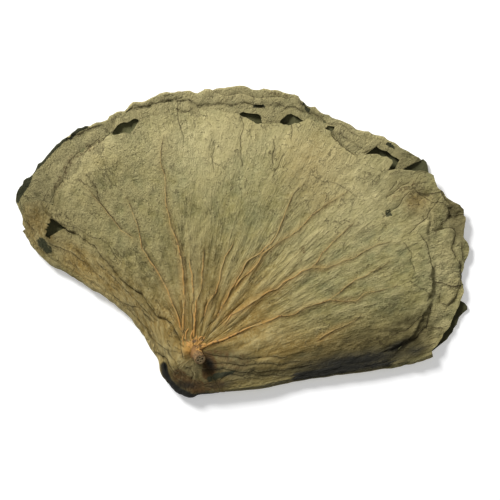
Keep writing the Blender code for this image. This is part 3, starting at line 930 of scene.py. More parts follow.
class Weathering:
    """What drying adds to the smooth leaf: relief in millimetres and the masks of its colours, among them
    painted highlight and painted shade.
    """

    TAN = tuple(Blot(*row) for row in (
        ((20, 45), (85, 40), 10, 0.9), ((-70, 95), (80, 26), 139, 0.8), ((110, 40), (110, 22), 6, 0.8),
        ((110, 222), (30, 24), 0, 0.75), ((120, 190), (40, 30), 30, 0.35), ((-146, 160), (18, 26), 0, 0.8),
        ((207, 182), (17, 12), -30, 0.8), ((-90, 215), (26, 16), 40, 0.3), ((60, 95), (60, 22), 40, 0.45),
        ((-100, 120), (40, 12), 139, 0.6), ((12, 105), (48, 52), 0, 0.55),
    ))
    # Paler tone, and painted highlight where the light falls most, chiefly across the top of the leaf.
    LIGHT = tuple(Blot(*row) for row in (
        ((40, 240), (110, 34), 0, 0.6), ((232, 120), (14, 40), 0, 0.9), ((-70, 240), (40, 14), 35, 0.3),
        ((150, 200), (50, 34), -30, 0.7), ((0, 230), (50, 34), 0, 0.6), ((232, 62), (12, 16), 0, 0.5),
        ((140, 150), (60, 50), 0, 0.4), ((-112, 217), (60, 18), 42, 0.75), ((-18, 38), (26, 10), 137, 0.65),
        ((10, 280), (100, 12), 0, 0.8), ((-60, 275), (60, 10), 8, 0.5), ((142, 252), (20, 10), -25, 0.7),
        ((-53, 85), (30, 10), 139, 0.4),
    ))
    # Darker tone, and painted shade: at the lower right where the fold turns from the light, on the nub and
    # beside the stalk's stub.
    SHADE = tuple(Blot(*row) for row in (
        ((-142, 192), (14, 16), 0, 0.4), ((-90, 180), (60, 50), -30, 0.15), ((-140, 165), (20, 24), 0, 0.4),
        ((202, 206), (24, 20), -40, 0.5), ((10, 105), (60, 60), 0, 0.4), ((207, 168), (16, 16), 0, 0.5),
        ((205, 48), (22, 16), 30, 0.6), ((170, 196), (18, 18), 0, 0.3), ((200, 62), (30, 12), 40, 0.9),
        ((140, 36), (60, 14), 8, 1.1), ((165, 70), (50, 22), 20, 0.45), ((-60, 110), (70, 10), 139, 0.15),
        ((60, 20), (70, 10), 6, 0.7), ((14, 30), (14, 16), 0, 0.7), ((246, 166), (11, 24), 10, 1.4),
        ((-112, 170), (18, 22), 0, 0.35), ((32, 29), (24, 13), 0, 0.6), ((-2, 14), (26, 15), 0, 1.2),
        ((165, 52), (70, 13), 12, 0.5), ((-131, 138), (12, 10), 139, 0.7), ((14, 9), (15, 8), 0, 0.8),
        ((36, 38), (18, 11), 0, 0.5),
    ))
    # Old dark green at rims and gaps, as on the upper face.
    GREEN = (
        Patch(((-168, 180), (-162, 194), (-155, 206), (-147, 205), (-150, 196), (-156, 188), (-161, 179))),
        Smear(((-149, 207), (-141, 215.5), (-127.5, 230), (-118, 239)), 3, 1.1),
        Smear(((-112, 243.5), (-104, 247.5), (-96, 250.5)), 2.2, 1.1),
        Smear(((-118, 237), (-108, 242)), 1.6, 0.9),
        Patch(((13, 18), (23.6, 22.5), (42, 25), (36, 21), (26, 17.5), (16, 14))),
        Smear(((-139, 143), (-132, 136)), 6, 0.8),
        Patch(((102, 274), (106, 271), (111, 265), (107, 263), (103, 267)), amount=0.8),
        Smear(((59, 269), (66, 270)), 2.2, 0.9),
        Patch(((180, 236), (189, 232), (188, 229), (181, 232)), amount=0.9),
        Patch(((178, 173.5), (184.5, 174.5), (186, 166.5), (179, 167)), amount=0.75),
    )
    # Near black: dark layers seen past the edges, and painted shadow under the fold's lower edge, along the
    # nub and beside the stub.
    BLACK = (
        Smear(((-26, 29), (-24, 18), (-17, 9), (-8, 3), (0, 0)), 5),
        Smear(((0, 0), (12, 2), (30, 3)), 3, 0.8), Smear(((98, 17), (120, 21), (140, 25)), 8),
        Smear(((140, 24), (160, 27), (182, 31)), 5, 0.9), Smear(((30, 4), (65, 9), (98, 16)), 3, 0.8),
        Blot((190, 46), (20, 7), 22, 0.8), Blot((17, 31), (5, 9), 20, 0.8),
        Blot((22, 26), (14, 3), 10, 0.6), Blot((150, 33), (66, 11), 8, 0.9),
        Blot((206, 42), (18, 9), 15, 0.7), Blot((35, 22), (25, 6), 5, 0.5), Blot((-7, 11), (20, 6), 0, 0.7),
        Blot((26, 11), (18, 5), 4, 0.6),
    )
    # Brown stains; the two smears just right of the stub, from (14, 37) and (20, 38), also paint its shadow.
    BROWN = tuple(Smear(*row) for row in (
        (((-85, 236), (-100, 229), (-111, 221), (-117, 209), (-126, 190)), 6, 0.5),
        (((14, 37), (18, 32), (16, 22)), 9), (((-12, 20), (-4, 13), (8, 9)), 9),
        (((0, 8), (14, 10), (26, 12)), 7, 0.8), (((20, 38), (46, 33)), 12, 0.6),
        (((194, 196), (180, 184)), 4, 0.5), (((206, 198), (192, 190), (184, 182)), 4, 0.5),
        (((204, 178), (222, 184)), 9, 0.4), (((102, 137), (103, 135)), 4, 0.7),
        (((99, 126), (101, 124)), 3, 0.5), (((180, 172), (185, 168)), 5, 0.4),
        (((28, 276), (45, 279)), 5, 0.4), (((75, 280), (92, 279)), 4, 0.5),
        (((-42, 272), (-20, 274)), 3, 0.4),
    ))

    # Folds that fan out from the stalk: seed, width in degrees, length, where they come and go, rise.
    FOLDS = ((11, 12, 60, (0, 60), 2), (12, 6, 46, (35, 120), 1.3), (13, 4, 34, (110, 200), 0.8))
    # How softly folds come and go, what they lose, and the run by which they are in full.
    COMING, GOING, LOST, FULL_RUN = (-25, 15), (0, 60), 0.55, 40
    # How sharp their valleys are, and the level between valley and crest.
    VALLEY, LEVEL = 0.7, 0.3
    # The folds' drift in degrees, the broad swell, and the cells of both in degrees and runs.
    DRIFT, SWELL, BROAD_CELL, DRIFT_RUN, SWELL_RUN = 1.2, 0.012, 12, 45, 110
    # Crumples: seed, size, rise, and how sharp their crests are.
    CRUMPLES = ((21, 34, 2, 0.7), (22, 16, 1.3, 0.5), (23, 8, 0.9, 0.25), (24, 4.6, 0.5, 0))
    # How far crumples are bent out of line, and over what length.
    WARP, WARP_SIZE = 6, 34
    # How creases waver: the length of the bends and their height.
    FRAYS = ((13, 2.2), (4.5, 0.9))

    def __init__(self) -> None:
        """Draws the noises of the relief."""
        turns = int(LeafPlan.FULL_TURN)
        self.folds = tuple(Noise(seed, (turns // cell, 64)) for seed, cell, *_ in self.FOLDS)
        self.broad = Noise(14, (turns // self.BROAD_CELL, 64))
        self.crumples = tuple(Noise(seed) for seed, *_ in self.CRUMPLES)
        self.warps = (Noise(31), Noise(32))

    def frayed(self, plan: Array) -> Array:
        """The plan points shifted a little, which makes straight lines uneven."""
        for size, shift in self.FRAYS:
            x, y = plan[..., 0] / size, plan[..., 1] / size
            plan = plan + shift * np.stack([warp.at(x, y) for warp in self.warps], axis=-1)
        return plan

    def spread(self, strip: Strip) -> Array:
        """The leaf unfolded flat, but for the nub, which keeps its plan.

        Args:
            strip: the columns.

        Returns:
            Where each point lies.
        """
        flat = strip.runs()[..., None] * towards(strip.turn * 360 / LeafPlan.FULL_TURN)[:, None]
        nub = strip.nub()[..., None]
        return flat * (1 - nub) + strip.spots[..., :2] * nub

    def crepe(self, strip: Strip) -> Array:
        """The folds that run out from the stalk, rounded on top with sharp valleys between.

        Args:
            strip: the columns.

        Returns:
            The height at each point.
        """
        run = strip.runs()
        turn = np.broadcast_to(strip.turn[:, None], run.shape)
        place = turn / self.BROAD_CELL
        drift = self.DRIFT * self.broad.at(place, run / self.DRIFT_RUN)
        height = self.SWELL * np.minimum(run, self.SWELL_RUN) * self.broad.at(place, run / self.SWELL_RUN)
        for fold, (_, cell, length, (come, go), rise) in zip(self.folds, self.FOLDS):
            valley = np.abs(fold.at((turn + drift) / cell, run / length)) ** self.VALLEY
            coming, going = smooth(*self.COMING, run - come), smooth(*self.GOING, run - go)
            strength = coming * (1 - self.LOST * going) * np.minimum(run / self.FULL_RUN, 1)
            height = height + rise * strength * (valley - self.LEVEL)
        return height

    def crumple(self, strip: Strip) -> Array:
        """The facets and sharp crests of crumpled paper.

        Args:
            strip: the columns.

        Returns:
            The height at each point.
        """
        flat = self.spread(strip)
        x, y = flat[..., 0], flat[..., 1]
        bent_x, bent_y = (
            way + self.WARP * warp.at(x / self.WARP_SIZE, y / self.WARP_SIZE)
            for way, warp in zip((x, y), self.warps)
        )
        height = np.zeros(x.shape)
        for noise, (_, size, rise, sharp) in zip(self.crumples, self.CRUMPLES):
            waves = noise.at(bent_x / size, bent_y / size)
            height = height + rise * (sharp * (self.LEVEL - np.abs(waves)) + (1 - sharp) * 0.7 * waves)
        return height


@dataclass
class Relief:
    """A strip's relief, in millimetres out from the blade, and the numbers its colours follow."""

    height: Array
    fine: Array
    tones: Array
    lines: Array
    darks: Array
    rough: Array
    marks: Array


class ReliefMaker:
    """Works out the relief and the colour masks of a strip of the leaf."""

    # A vein's ridge: its width, its loss along the vein, and how far from it the vein is felt.
    RIDGE_WIDTH, RIDGE_LOSS, VEIN_REACH = 2.2, 0.5, 8
    # How far a vein warms the colour, and what that loses along the vein.
    WARM_REACH, WARM_LOSS = (6, 1), 0.85
    # The bulge of the blade where the stalk grows out of it.
    KNOB, KNOB_RISE, KNOB_SIZE, KNOB_WARMTH = (-2.6, 43.6), 4.6, 6, 2.4
    # How far the normal rises at the turned rim, from which run, and where it points down.
    TURNED, TURNED_RUN, FACING_DOWN = (0, 0.5), (90, 120), (-0.2, -0.6)
    # Where the leaf grows rougher to the left, and where the band along the right rim lies.
    LEFT_BEARINGS, BAND_SIDES, BAND_END = (80, 115), (-4, 8), 36
    # Crumpling in the middle, what the left, the turned rim and the band add, and from which run.
    MIDDLE_CRUMPLE, LEFT_CRUMPLE, HEM_CRUMPLE, BAND_CRUMPLE, CRUMPLE_RUN = 0.4, 0.9, 1.4, 1.1, (20, 90)
    # Lines further off than this aren't shown.
    LINE_REACH = 4

    def __init__(self, hidden: Sequence[Vein]) -> None:
        """Gets the weathering ready, and keeps the ribs of the half below."""
        self.weathering, self.hidden = Weathering(), hidden

    def veined(self, plan: Array, veins: Sequence[Vein]) -> tuple[Array, Array, Array]:
        """The broad ridges under a set of veins.

        Args:
            plan: the plan points.
            veins: the set.

        Returns:
            Their height, the signed distance to the nearest vein, and how much it warms the colour.
        """
        height, nearest = np.zeros(plan.shape[:2]), np.full(plan.shape[:2], FAR)
        warmth = np.zeros(plan.shape[:2])
        for vein in veins:
            signed, share = vein.measure(plan, self.VEIN_REACH)
            ridge = vein.height * (1 - self.RIDGE_LOSS * share) * np.exp(-((signed / self.RIDGE_WIDTH) ** 2))
            height = np.maximum(height, ridge)
            closer = np.abs(signed) < np.abs(nearest)
            warm = vein.glow * (1 - self.WARM_LOSS * share) * smooth(*self.WARM_REACH, np.abs(signed))
            warmth, nearest = np.where(closer, warm, warmth), np.where(closer, signed, nearest)
        return height, nearest, warmth

    def ribbed(self, plan: Array, top: Array, below: Array) -> tuple[Array, Array, Array]:
        """The ridges on top, with the bulge at the stalk's root, and those of the half below.

        Args:
            plan: the plan points.
            top: where the strip lies on top, from 0 to 1.
            below: where it lies below and faces down.

        Returns:
            The same numbers as for one set of veins.
        """
        height, nearest, warmth = self.veined(plan, Lines.VEINS)
        knob = np.exp(-((np.linalg.norm(plan - np.array(self.KNOB), axis=-1) / self.KNOB_SIZE) ** 2))
        height = np.maximum(height, self.KNOB_RISE * knob)
        warmth = np.maximum(warmth, self.KNOB_WARMTH * knob)
        if not below.any():
            return height * top, nearest, warmth * top
        hidden_height, hidden_nearest, hidden_warmth = self.veined(plan, self.hidden)
        return (
            height * top + hidden_height * below,
            np.where(below > 0.5, hidden_nearest, nearest),
            warmth * top + hidden_warmth * below,
        )

    def creased(self, plan: Array, creases: Sequence[Crease]) -> tuple[Array, Array, Array]:
        """The grooves and laps of a set of creases.

        Args:
            plan: the plan points.
            creases: the set.

        Returns:
            Their height, the distance to the nearest one, below 0 on its low side, and its darkness.
        """
        height = np.zeros(plan.shape[:2])
        nearest, dark = np.full(plan.shape[:2], FAR), np.zeros(plan.shape[:2])
        for crease in creases:
            signed, share = crease.measure(plan, Crease.REACH)
            height = height + crease.relief(signed, share)
            closer = np.abs(signed) < np.abs(nearest)
            nearest = np.where(closer, signed if crease.step >= 0 else -signed, nearest)
            dark = np.where(closer, crease.dark, dark)
        return height, nearest, dark

    def of(self, strip: Strip) -> Relief:
        """Works out one strip.

        Args:
            strip: the smooth columns.

        Returns:
            Its relief.
        """
        weathering = self.weathering
        plan, run = strip.spots[..., :2], strip.runs()
        on_top = np.broadcast_to(strip.front[:, None], run.shape)
        upward = strip.normals()[..., 2]
        hem = (1 - on_top) * smooth(*self.TURNED, upward) * smooth(*self.TURNED_RUN, run)
        nub, top = strip.nub(), strip.top()
        seen = np.maximum(np.maximum(on_top, hem), nub)
        below = (1 - on_top) * smooth(*self.FACING_DOWN, upward) * (1 - nub)
        bearing = bearing_of(plan)
        away = np.linalg.norm(plan - Sheets.STALK, axis=-1)
        leftness = smooth(*self.LEFT_BEARINGS, bearing)
        band = smooth(*self.BAND_SIDES, away - along_curve(LeafPlan.RIM_CREASE, bearing))
        band = band * (bearing < self.BAND_END)
        crumpling = self.MIDDLE_CRUMPLE + self.LEFT_CRUMPLE * leftness + self.BAND_CRUMPLE * band
        crumpling = crumpling + (self.HEM_CRUMPLE - self.LEFT_CRUMPLE * leftness) * hem
        crumpling = crumpling * smooth(*self.CRUMPLE_RUN, run) + self.BAND_CRUMPLE * nub
        crumple = weathering.crumple(strip) * crumpling
        crepe = weathering.crepe(strip) * (1 - 0.5 * leftness) * (1 - 0.5 * np.maximum(hem, band)) * (1 - nub)
        frayed = weathering.frayed(plan)
        groove, signed, dark = self.creased(frayed, Lines.CREASES)
        more, more_signed, more_dark = self.creased(frayed, Lines.MORE_CREASES)
        ridges, vein_signed, glow = self.ribbed(plan, top, below)
        height = crumple + crepe + (groove + more) * seen + ridges
        signed, more_signed, vein_signed = (
            np.where((np.abs(d) > self.LINE_REACH) | (shown < 0.5), FAR, d)
            for d, shown in ((signed, seen), (more_signed, seen), (vein_signed, np.maximum(seen, below)))
        )
        # Tan tone; paler tone with painted highlight; darker tone with painted shade.
        blotted = (weathering.TAN, weathering.LIGHT, weathering.SHADE)
        tan, light, shade = (sum(blot.at(plan) for blot in blots) for blots in blotted)
        tones = np.stack([tan * top + nub, light * seen, shade * seen], axis=-1)
        # Green; near black with painted shadow; brown stains with the stub's painted shadow.
        stains_and_shadow = (weathering.GREEN, weathering.BLACK, weathering.BROWN)
        marks = [seen * np.max([mark.at(plan) for mark in group], axis=0) for group in stains_and_shadow]
        return Relief(
            height=height,
            fine=crumple + crepe,
            tones=np.clip(tones, 0, 1),
            lines=np.stack([signed, more_signed, vein_signed], axis=-1),
            # Crease darkness sets the strength of their painted shade and highlight.
            darks=np.stack([dark * seen, more_dark * seen, glow], axis=-1),
            rough=np.stack([crumpling, hem, band * on_top], axis=-1),
            marks=np.stack(marks, axis=-1),
        )


class Value:
    """A shader socket with Python's operators, each of which adds its Math node."""

    def __init__(self, shader: "Shader", socket: Socket) -> None:
        """Keeps the socket with the shader that it is in."""
        self.shader, self.socket = shader, socket

    def maths(self, operation: str, *values: Any) -> "Value":
        """A Math node over some values."""
        node = self.shader.node("ShaderNodeMath", dict(enumerate(values)), operation=operation)
        return Value(self.shader, node.outputs[0])

    def __add__(self, other: Any) -> "Value":
        """This plus a value."""
        return self.maths("ADD", self, other)

    def __sub__(self, other: Any) -> "Value":
        """This less a value."""
        return self.maths("SUBTRACT", self, other)

    def __rsub__(self, other: Any) -> "Value":
        """A value less this."""
        return self.maths("SUBTRACT", other, self)

    def __mul__(self, other: Any) -> "Value":
        """This times a value."""
        return self.maths("MULTIPLY", self, other)

    __radd__, __rmul__ = __add__, __mul__

    def __abs__(self) -> "Value":
        """This without its sign."""
        return self.maths("ABSOLUTE", self)

    def clamped(self) -> "Value":
        """This held between 0 and 1."""
        return self.maths("MINIMUM", self.maths("MAXIMUM", self, 0.0), 1.0)

    def smooth(self, low: float, high: float) -> "Value":
        """Rises softly from 0 to 1.

        Args:
            low: where it starts.
            high: where it is full.

        Returns:
            The share.
        """
        inputs = {"Value": self, "From Min": low, "From Max": high}
        node = self.shader.node("ShaderNodeMapRange", inputs, interpolation_type="SMOOTHSTEP")
        return Value(self.shader, node.outputs["Result"])


def tint(red: int, green: int, blue: int) -> tuple[float, float, float, float]:
    """A colour as seen on a screen, 0 to 255, as the light that a shader counts in."""
    shares = (value / 255 for value in (red, green, blue))
    return (*(s / 12.92 if s <= 0.04045 else ((s + 0.055) / 1.055) ** 2.4 for s in shares), 1.0)


class Shader:
    """One material, built node by node."""

    def __init__(self, name: str) -> None:
        """Starts a material.

        Args:
            name: its name.
        """
        self.material = bpy.data.materials.new(name)
        self.material.use_nodes = True
        self.tree = self.material.node_tree
        self.principled = self.tree.nodes["Principled BSDF"]

    def put(self, socket: Socket, value: Any) -> None:
        """Links a value to a socket, or sets the socket to a constant.

        Args:
            socket: the socket.
            value: the value or constant.
        """
        value = value.socket if isinstance(value, Value) else value
        if isinstance(value, Socket):
            self.tree.links.new(value, socket)
        else:
            socket.default_value = value

    def node(self, kind: str, inputs: Optional[dict] = None, **settings: Any) -> bpy.types.Node:
        """Adds any node.

        Args:
            kind: the node's type.
            inputs: values or links by socket name or number.
            settings: its own settings, which are set first.

        Returns:
            The node.
        """
        made = self.tree.nodes.new(kind)
        for name, setting in settings.items():
            setattr(made, name, setting)
        for name, value in (inputs or {}).items():
            self.put(made.inputs[name], value)
        return made

    def attribute(self, name: str) -> Socket:
        """The vector that the mesh keeps under this name."""
        return self.node("ShaderNodeAttribute", attribute_name=name).outputs["Vector"]

    def parts(self, vector: Socket) -> tuple[Value, Value, Value]:
        """The three numbers of a vector."""
        node = self.node("ShaderNodeSeparateXYZ", {0: vector})
        return tuple(Value(self, socket) for socket in node.outputs)

    def kept(self, name: str) -> tuple[Value, Value, Value]:
        """The three numbers that the mesh keeps under this name."""
        return self.parts(self.attribute(name))

    def noise(self, place: Socket, scale: float, detail: float, rough: float) -> Value:
        """Noise between 0 and 1 over a place."""
        inputs = {"Vector": place, "Scale": scale, "Detail": detail, "Roughness": rough}
        return Value(self, self.node("ShaderNodeTexNoise", inputs).outputs["Fac"])

    def grain(self, polar: Socket, across: float, along: float, detail: float) -> Value:
        """Noise between 0 and 1 that is drawn out along the folds."""
        drawn = self.node("ShaderNodeVectorMath", {0: polar, 1: (across, along, 0.0)}, operation="MULTIPLY")
        return self.noise(drawn.outputs[0], 1.0, detail, 0.6)

    def creases(self, noise: Value, width: float) -> Value:
        """Thin lines where a noise passes its middle."""
        return 1 - abs(noise - 0.5).smooth(0.1 * width, width)

    def coated(self, base: Any, coats: Sequence[tuple[Value, Any]]) -> Any:
        """A colour with others laid over it in turn, each as strongly as its share says."""
        for share, colour in coats:
            base = self.node("ShaderNodeMix", {0: share, 6: base, 7: colour}, data_type="RGBA").outputs[2]
        return base

    def bump(self, height: Value, strength: float, distance: float) -> Socket:
        """A normal bent by a height in millimetres."""
        inputs = {"Height": height, "Strength": strength, "Distance": distance}
        return self.node("ShaderNodeBump", inputs).outputs["Normal"]

    def finish(self, **sockets: Any) -> bpy.types.Material:
        """Sets the Principled shader's sockets, with spaces for underlines, and gives the material."""
        for name, value in sockets.items():
            self.put(self.principled.inputs[name.replace("_", " ")], value)
        return self.material


@dataclass(frozen=True)
class UndersideFinish:
    """The pale, papery underside, which is out on both halves."""

    olive: tuple = tint(148, 140, 88)
    grey: tuple = tint(134, 133, 90)
    tan: tuple = tint(150, 124, 64)
    # light and shade are paler and darker tones, laid on also as painted highlight and painted shade.
    light: tuple = tint(204, 192, 140)
    shade: tuple = tint(80, 72, 40)
    # groove is laid on as painted shade in valleys and creases, and as dark grit and cracks; crest is painted
    # highlight on crests.
    groove: tuple = tint(74, 60, 32)
    crest: tuple = tint(190, 176, 124)
    speck: tuple = tint(70, 60, 36)
    vein: tuple = tint(164, 122, 58)
    green: tuple = tint(62, 63, 40)
    # black is dark layers past the edges, and painted shadow under the fold and by the stub.
    black: tuple = tint(34, 33, 26)
    brown: tuple = tint(92, 68, 34)
    roughness: float = 0.75

    # Mottles, blotches, grit and facets: scale, detail and roughness.
    NOISES = ((0.04, 6, 0.62), (0.13, 6, 0.7), (0.55, 4, 0.65), (0.22, 5, 0.62))
    # Coarse grain, streaks and fibres: scale across the folds and along them, and detail.
    GRAINS = ((0.1, 0.03, 5), (0.32, 0.035, 6), (1.1, 0.08, 4))

    def dress(self) -> bpy.types.Material:
        """Builds the material.

        Returns:
            The material.
        """
        shader = Shader("dried_underside")
        polar, spread = shader.attribute("unrolled"), shader.attribute("spread")
        tan, light, shade = shader.kept("tones")
        crease, more_crease, rib = shader.kept("lines")
        dark, more_dark, glow = shader.kept("darks")
        crumpled, hem, band = shader.kept("rough")
        green, black, brown = shader.kept("marks")
        turn, run, relief = shader.parts(polar)
        nub = shader.parts(spread)[2]
        left, near = turn.smooth(40, 75) * run.smooth(80, 160), 1 - run.smooth(35, 115)
        left = (left + turn.smooth(24, 38) * run.smooth(140, 190) * 0.8).clamped()
        mottle, blotches, grit, facets = (shader.noise(spread, *noise) for noise in self.NOISES)
        coarse, streaks, fibres = (shader.grain(polar, *grain) for grain in self.GRAINS)
        radial = (coarse * near + streaks * (1 - near)) * (1 - nub) + blotches * nub
        cracks = shader.creases(streaks, 0.014) * shader.noise(spread, 0.03, 2, 0.5).smooth(0.5, 0.62)
        edge = blotches * 0.9 + 0.55
        split = shader.creases(shader.noise(spread, 0.09, 4, 0.55), 0.012) * blotches.smooth(0.49, 0.58)
        crimp = shader.creases(shader.noise(spread, 0.13, 3, 0.55), 0.014) * blotches.smooth(0.5, 0.4)
        split, crimp = split * left, crimp * left
        worn = (blotches * 0.6 + grit * 0.4).smooth(0.4, 0.58)
        broken = (blotches - 0.5) * 1.8 + (grit - 0.5) * 1.2
        drawn = self.drawn(crease, 0.5, edge) * dark + self.drawn(more_crease, 0.5, edge) * more_dark
        painted_vein_shadow = self.drawn(rib + 1.0, 0.6, edge) * blotches.smooth(0.38, 0.56)
        # pale lays paler tone and painted highlight; the next mask lays darker tone and painted shade.
        pale = light * 0.6 + hem * 0.14 + (blotches - 0.45) * 1.3 + (grit - 0.5) + (radial - 0.5) * (1 - left)
        dark_tone_and_shade = shade * 0.9 + (0.45 - blotches) * 0.9 + (0.47 - radial) * (1.4 - left)
        scattered = shader.node("ShaderNodeTexVoronoi", {"Vector": spread, "Scale": 0.1})
        specks = 1 - Value(shader, scattered.outputs["Distance"]).smooth(0.045, 0.1)
        port = turn.smooth(190, 175) * turn.smooth(146, 150)
        mould = (grit * 0.5 + blotches * 0.5).smooth(0.44, 0.34) * (hem + band * 0.5 - port * 0.8).clamped()
        base = shader.coated(self.olive, (
            (mottle.smooth(0.38, 0.62), self.grey),
            (tan + (mottle - 0.5) * 0.8 + (radial - 0.5) * 0.8, self.tan),
            # Paler patches, and painted highlight where the LIGHT blots lie.
            (pale, self.light),
            # Darker patches, and painted shade where the SHADE blots lie.
            (dark_tone_and_shade, self.shade),
            # Painted highlight on the relief's crests, with a lighter left side; painted shade in its
            # valleys, with dark grit.
            (relief * 0.3 + left * 0.16, self.crest),
            (relief * (0.22 * left - 0.35) + (0.36 - grit) * 2.0, self.groove),
            (cracks * 0.5 + split * 0.4, self.groove),
            (crimp * 0.4, self.light),
            ((brown + broken).smooth(0.3, 1.0) * brown.smooth(0.0, 0.3), self.brown),
            (glow * edge * 0.4, self.vein),
            # Painted shade on each crease's low side and painted highlight on its high side.
            *(
                (strip(signed) * depth * worn * share, colour)
                for signed, depth in ((crease, dark), (more_crease, more_dark))
                for strip, share, colour in ((self.bank, 0.45, self.shade), (self.brow, 0.22, self.light))
            ),
            # Painted shade along the creases' lines.
            (drawn * worn * 0.8, self.groove),
            # Painted shade beside the veins, on their side away from the light.
            (self.bank(rib + 0.4) * worn * 0.34, self.groove),
            (painted_vein_shadow * 0.6, self.groove),
            ((green + broken).smooth(0.42, 0.62) * green.smooth(0.02, 0.25), self.green),
            # Dark layers past the edges, and painted shadow under the fold and by the stub.
            ((black + broken * 0.25).smooth(0.15, 0.9) * black.smooth(0.0, 0.3), self.black),
            (specks * 0.6, self.speck),
            (mould * 0.7, self.speck),
        ))
        sharp = ((crumpled - 0.6) * 0.6 + left * 0.12 + 0.08) * (1 - nub * 0.6)
        height = (radial - 0.5) * (2.4 - left * 1.4) + fibres * 0.5 * (1 - near)
        height = height + blotches * (crumpled * 0.6 + 0.5) + (1 - abs(facets - 0.5) * 4) * sharp.clamped()
        height = height + grit * 0.4 - drawn * 0.5 - cracks * 0.35 - split * 0.4 + crimp * 0.4
        return shader.finish(
            Base_Color=base,
            Roughness=self.roughness,
            Normal=shader.bump(height, 1.0, 0.002),
            Specular_IOR_Level=0.25,
        )

    def drawn(self, signed: Value, width: float, edge: Value) -> Value:
        """A line of uneven width where the signed distance passes zero."""
        return 1 - abs(signed * edge).smooth(0.3 * width, 1.3 * width)

    def bank(self, signed: Value) -> Value:
        """The strip in shade on the low side of a crease."""
        return signed.smooth(-3.4, -0.3) * (1 - signed.smooth(-0.3, 0.3))

    def brow(self, signed: Value) -> Value:
        """The painted highlight on the high side of a crease."""
        return signed.smooth(-0.2, 0.5) * (1 - signed.smooth(0.6, 2.2))


@dataclass(frozen=True)
class UpperFaceFinish:
    """The dark green upper face, inside the fold, seen through tears and past the rims."""

    # green and dark are lighter than this face's own dark green: painted light that lifts the shade in the
    # deep gaps.
    green: tuple = tint(118, 115, 78)
    dark: tuple = tint(96, 96, 62)
    rim: tuple = tint(64, 63, 40)
    roughness: float = 0.8

    def dress(self) -> bpy.types.Material:
        """Builds the material.

        Returns:
            The material.
        """
        shader = Shader("dried_upper_face")
        polar, spread = shader.attribute("unrolled"), shader.attribute("spread")
        mottle = shader.noise(spread, 0.3, 5, 0.65)
        streaks = shader.grain(polar, 1.2, 0.04, 4)
        turn = shader.parts(polar)[0]
        # Towards the right, where the gaps lie open to the light, the colour goes back to the darker rim.
        lit_gaps = turn.smooth(196, 206) * 0.4 + turn.smooth(242, 248) * 0.3 + turn.smooth(276, 280) * 0.2
        fresh = (mottle * 0.7 + streaks * 0.4).smooth(0.4, 0.7)
        return shader.finish(
            Base_Color=shader.coated(self.dark, ((fresh, self.green), (lit_gaps, self.rim))),
            Roughness=self.roughness,
            Normal=shader.bump(mottle * 1.2 + streaks * 0.4, 0.8, 0.0008),
            Specular_IOR_Level=0.2,
        )


@dataclass(frozen=True)
class VeinFinish:
    """The raised veins, orange-tan by the stalk and paler towards the rim."""

    orange: tuple = tint(182, 136, 66)
    pale: tuple = tint(172, 151, 94)
    dark: tuple = tint(96, 72, 38)
    roughness: float = 0.65

    def dress(self) -> bpy.types.Material:
        """Builds the material.

        Returns:
            The material.
        """
        shader = Shader("dried_vein")
        along, glow, _ = shader.kept("vein")
        place = shader.node("ShaderNodeTexCoord").outputs["Object"]
        grain = shader.noise(place, 260, 4, 0.6)
        bleached = shader.noise(place, 70, 3, 0.6).smooth(0.45, 0.6) * along.smooth(0.06, 0.2)
        base = shader.coated(self.orange, (
            (along * 1.6 - glow * 0.3 + (grain - 0.5) * 0.8, self.pale),
            ((0.52 - grain).smooth(0.02, 0.2), self.dark),
            (bleached * 0.7, self.pale),
        ))
        bump = shader.bump(grain, 0.6, 0.0006)
        return shader.finish(Base_Color=base, Roughness=self.roughness, Normal=bump)


@dataclass(frozen=True)
class StubFinish:
    """The cut stalk: brown bark round a pale, porous end."""

    bark: tuple = tint(140, 110, 66)
    bark_dark: tuple = tint(84, 62, 36)
    pith: tuple = tint(176, 154, 112)
    root: tuple = tint(136, 98, 50)
    # Painted shade deep in the air channels.
    hollow: tuple = tint(52, 40, 24)
    roughness: float = 0.8

    def dress(self) -> bpy.types.Material:
        """Builds the material.

        Returns:
            The material.
        """
        shader = Shader("stalk_stub")
        place = shader.node("ShaderNodeTexCoord").outputs["Object"]
        cut, shaded_depth, height = shader.kept("cut")
        grain = shader.noise(place, 520, 5, 0.65)
        base = shader.coated(self.bark_dark, (
            (grain.smooth(0.35, 0.65), self.bark),
            ((1 - height.smooth(0.2, 0.55)) * (grain + 0.35).clamped(), self.root),
            (cut * (0.6 + grain * 0.5), self.pith),
            (shaded_depth, self.hollow),
        ))
        bump = shader.bump(grain, 0.9, 0.0008)
        return shader.finish(Base_Color=base, Roughness=self.roughness, Normal=bump)


def keep_vectors(mesh: bpy.types.Mesh, name: str, values: Array) -> None:
    """Keeps a vector for every point of the mesh, for the materials to read."""
    numbers = values.astype(np.float32).ravel()
    mesh.attributes.new(name, "FLOAT_VECTOR", "POINT").data.foreach_set("vector", numbers)


def points_of(mesh: bpy.types.Mesh) -> Array:
    """The mesh's points.

    Args:
        mesh: the mesh.

    Returns:
        One point a row.
    """
    flat = np.zeros(len(mesh.vertices) * 3)
    mesh.vertices.foreach_get("co", flat)
    return flat.reshape(-1, 3)


def move_points(mesh: bpy.types.Mesh, places: Array) -> None:
    """Moves the mesh's points to these places."""
    mesh.vertices.foreach_set("co", places.ravel())
    mesh.update()


def ground_of(piece: Piece) -> BVHTree:
    """The piece's surface, to find what lies under a place."""
    return BVHTree.FromObject(piece, bpy.context.evaluated_depsgraph_get())


def put_in(name: str, data: bpy.types.ID) -> Piece:
    """Puts an object into the scene.

    Args:
        name: its name.
        data: its mesh, light or camera.

    Returns:
        The object.
    """
    thing = bpy.data.objects.new(name, data)
    bpy.context.scene.collection.objects.link(thing)
    return thing


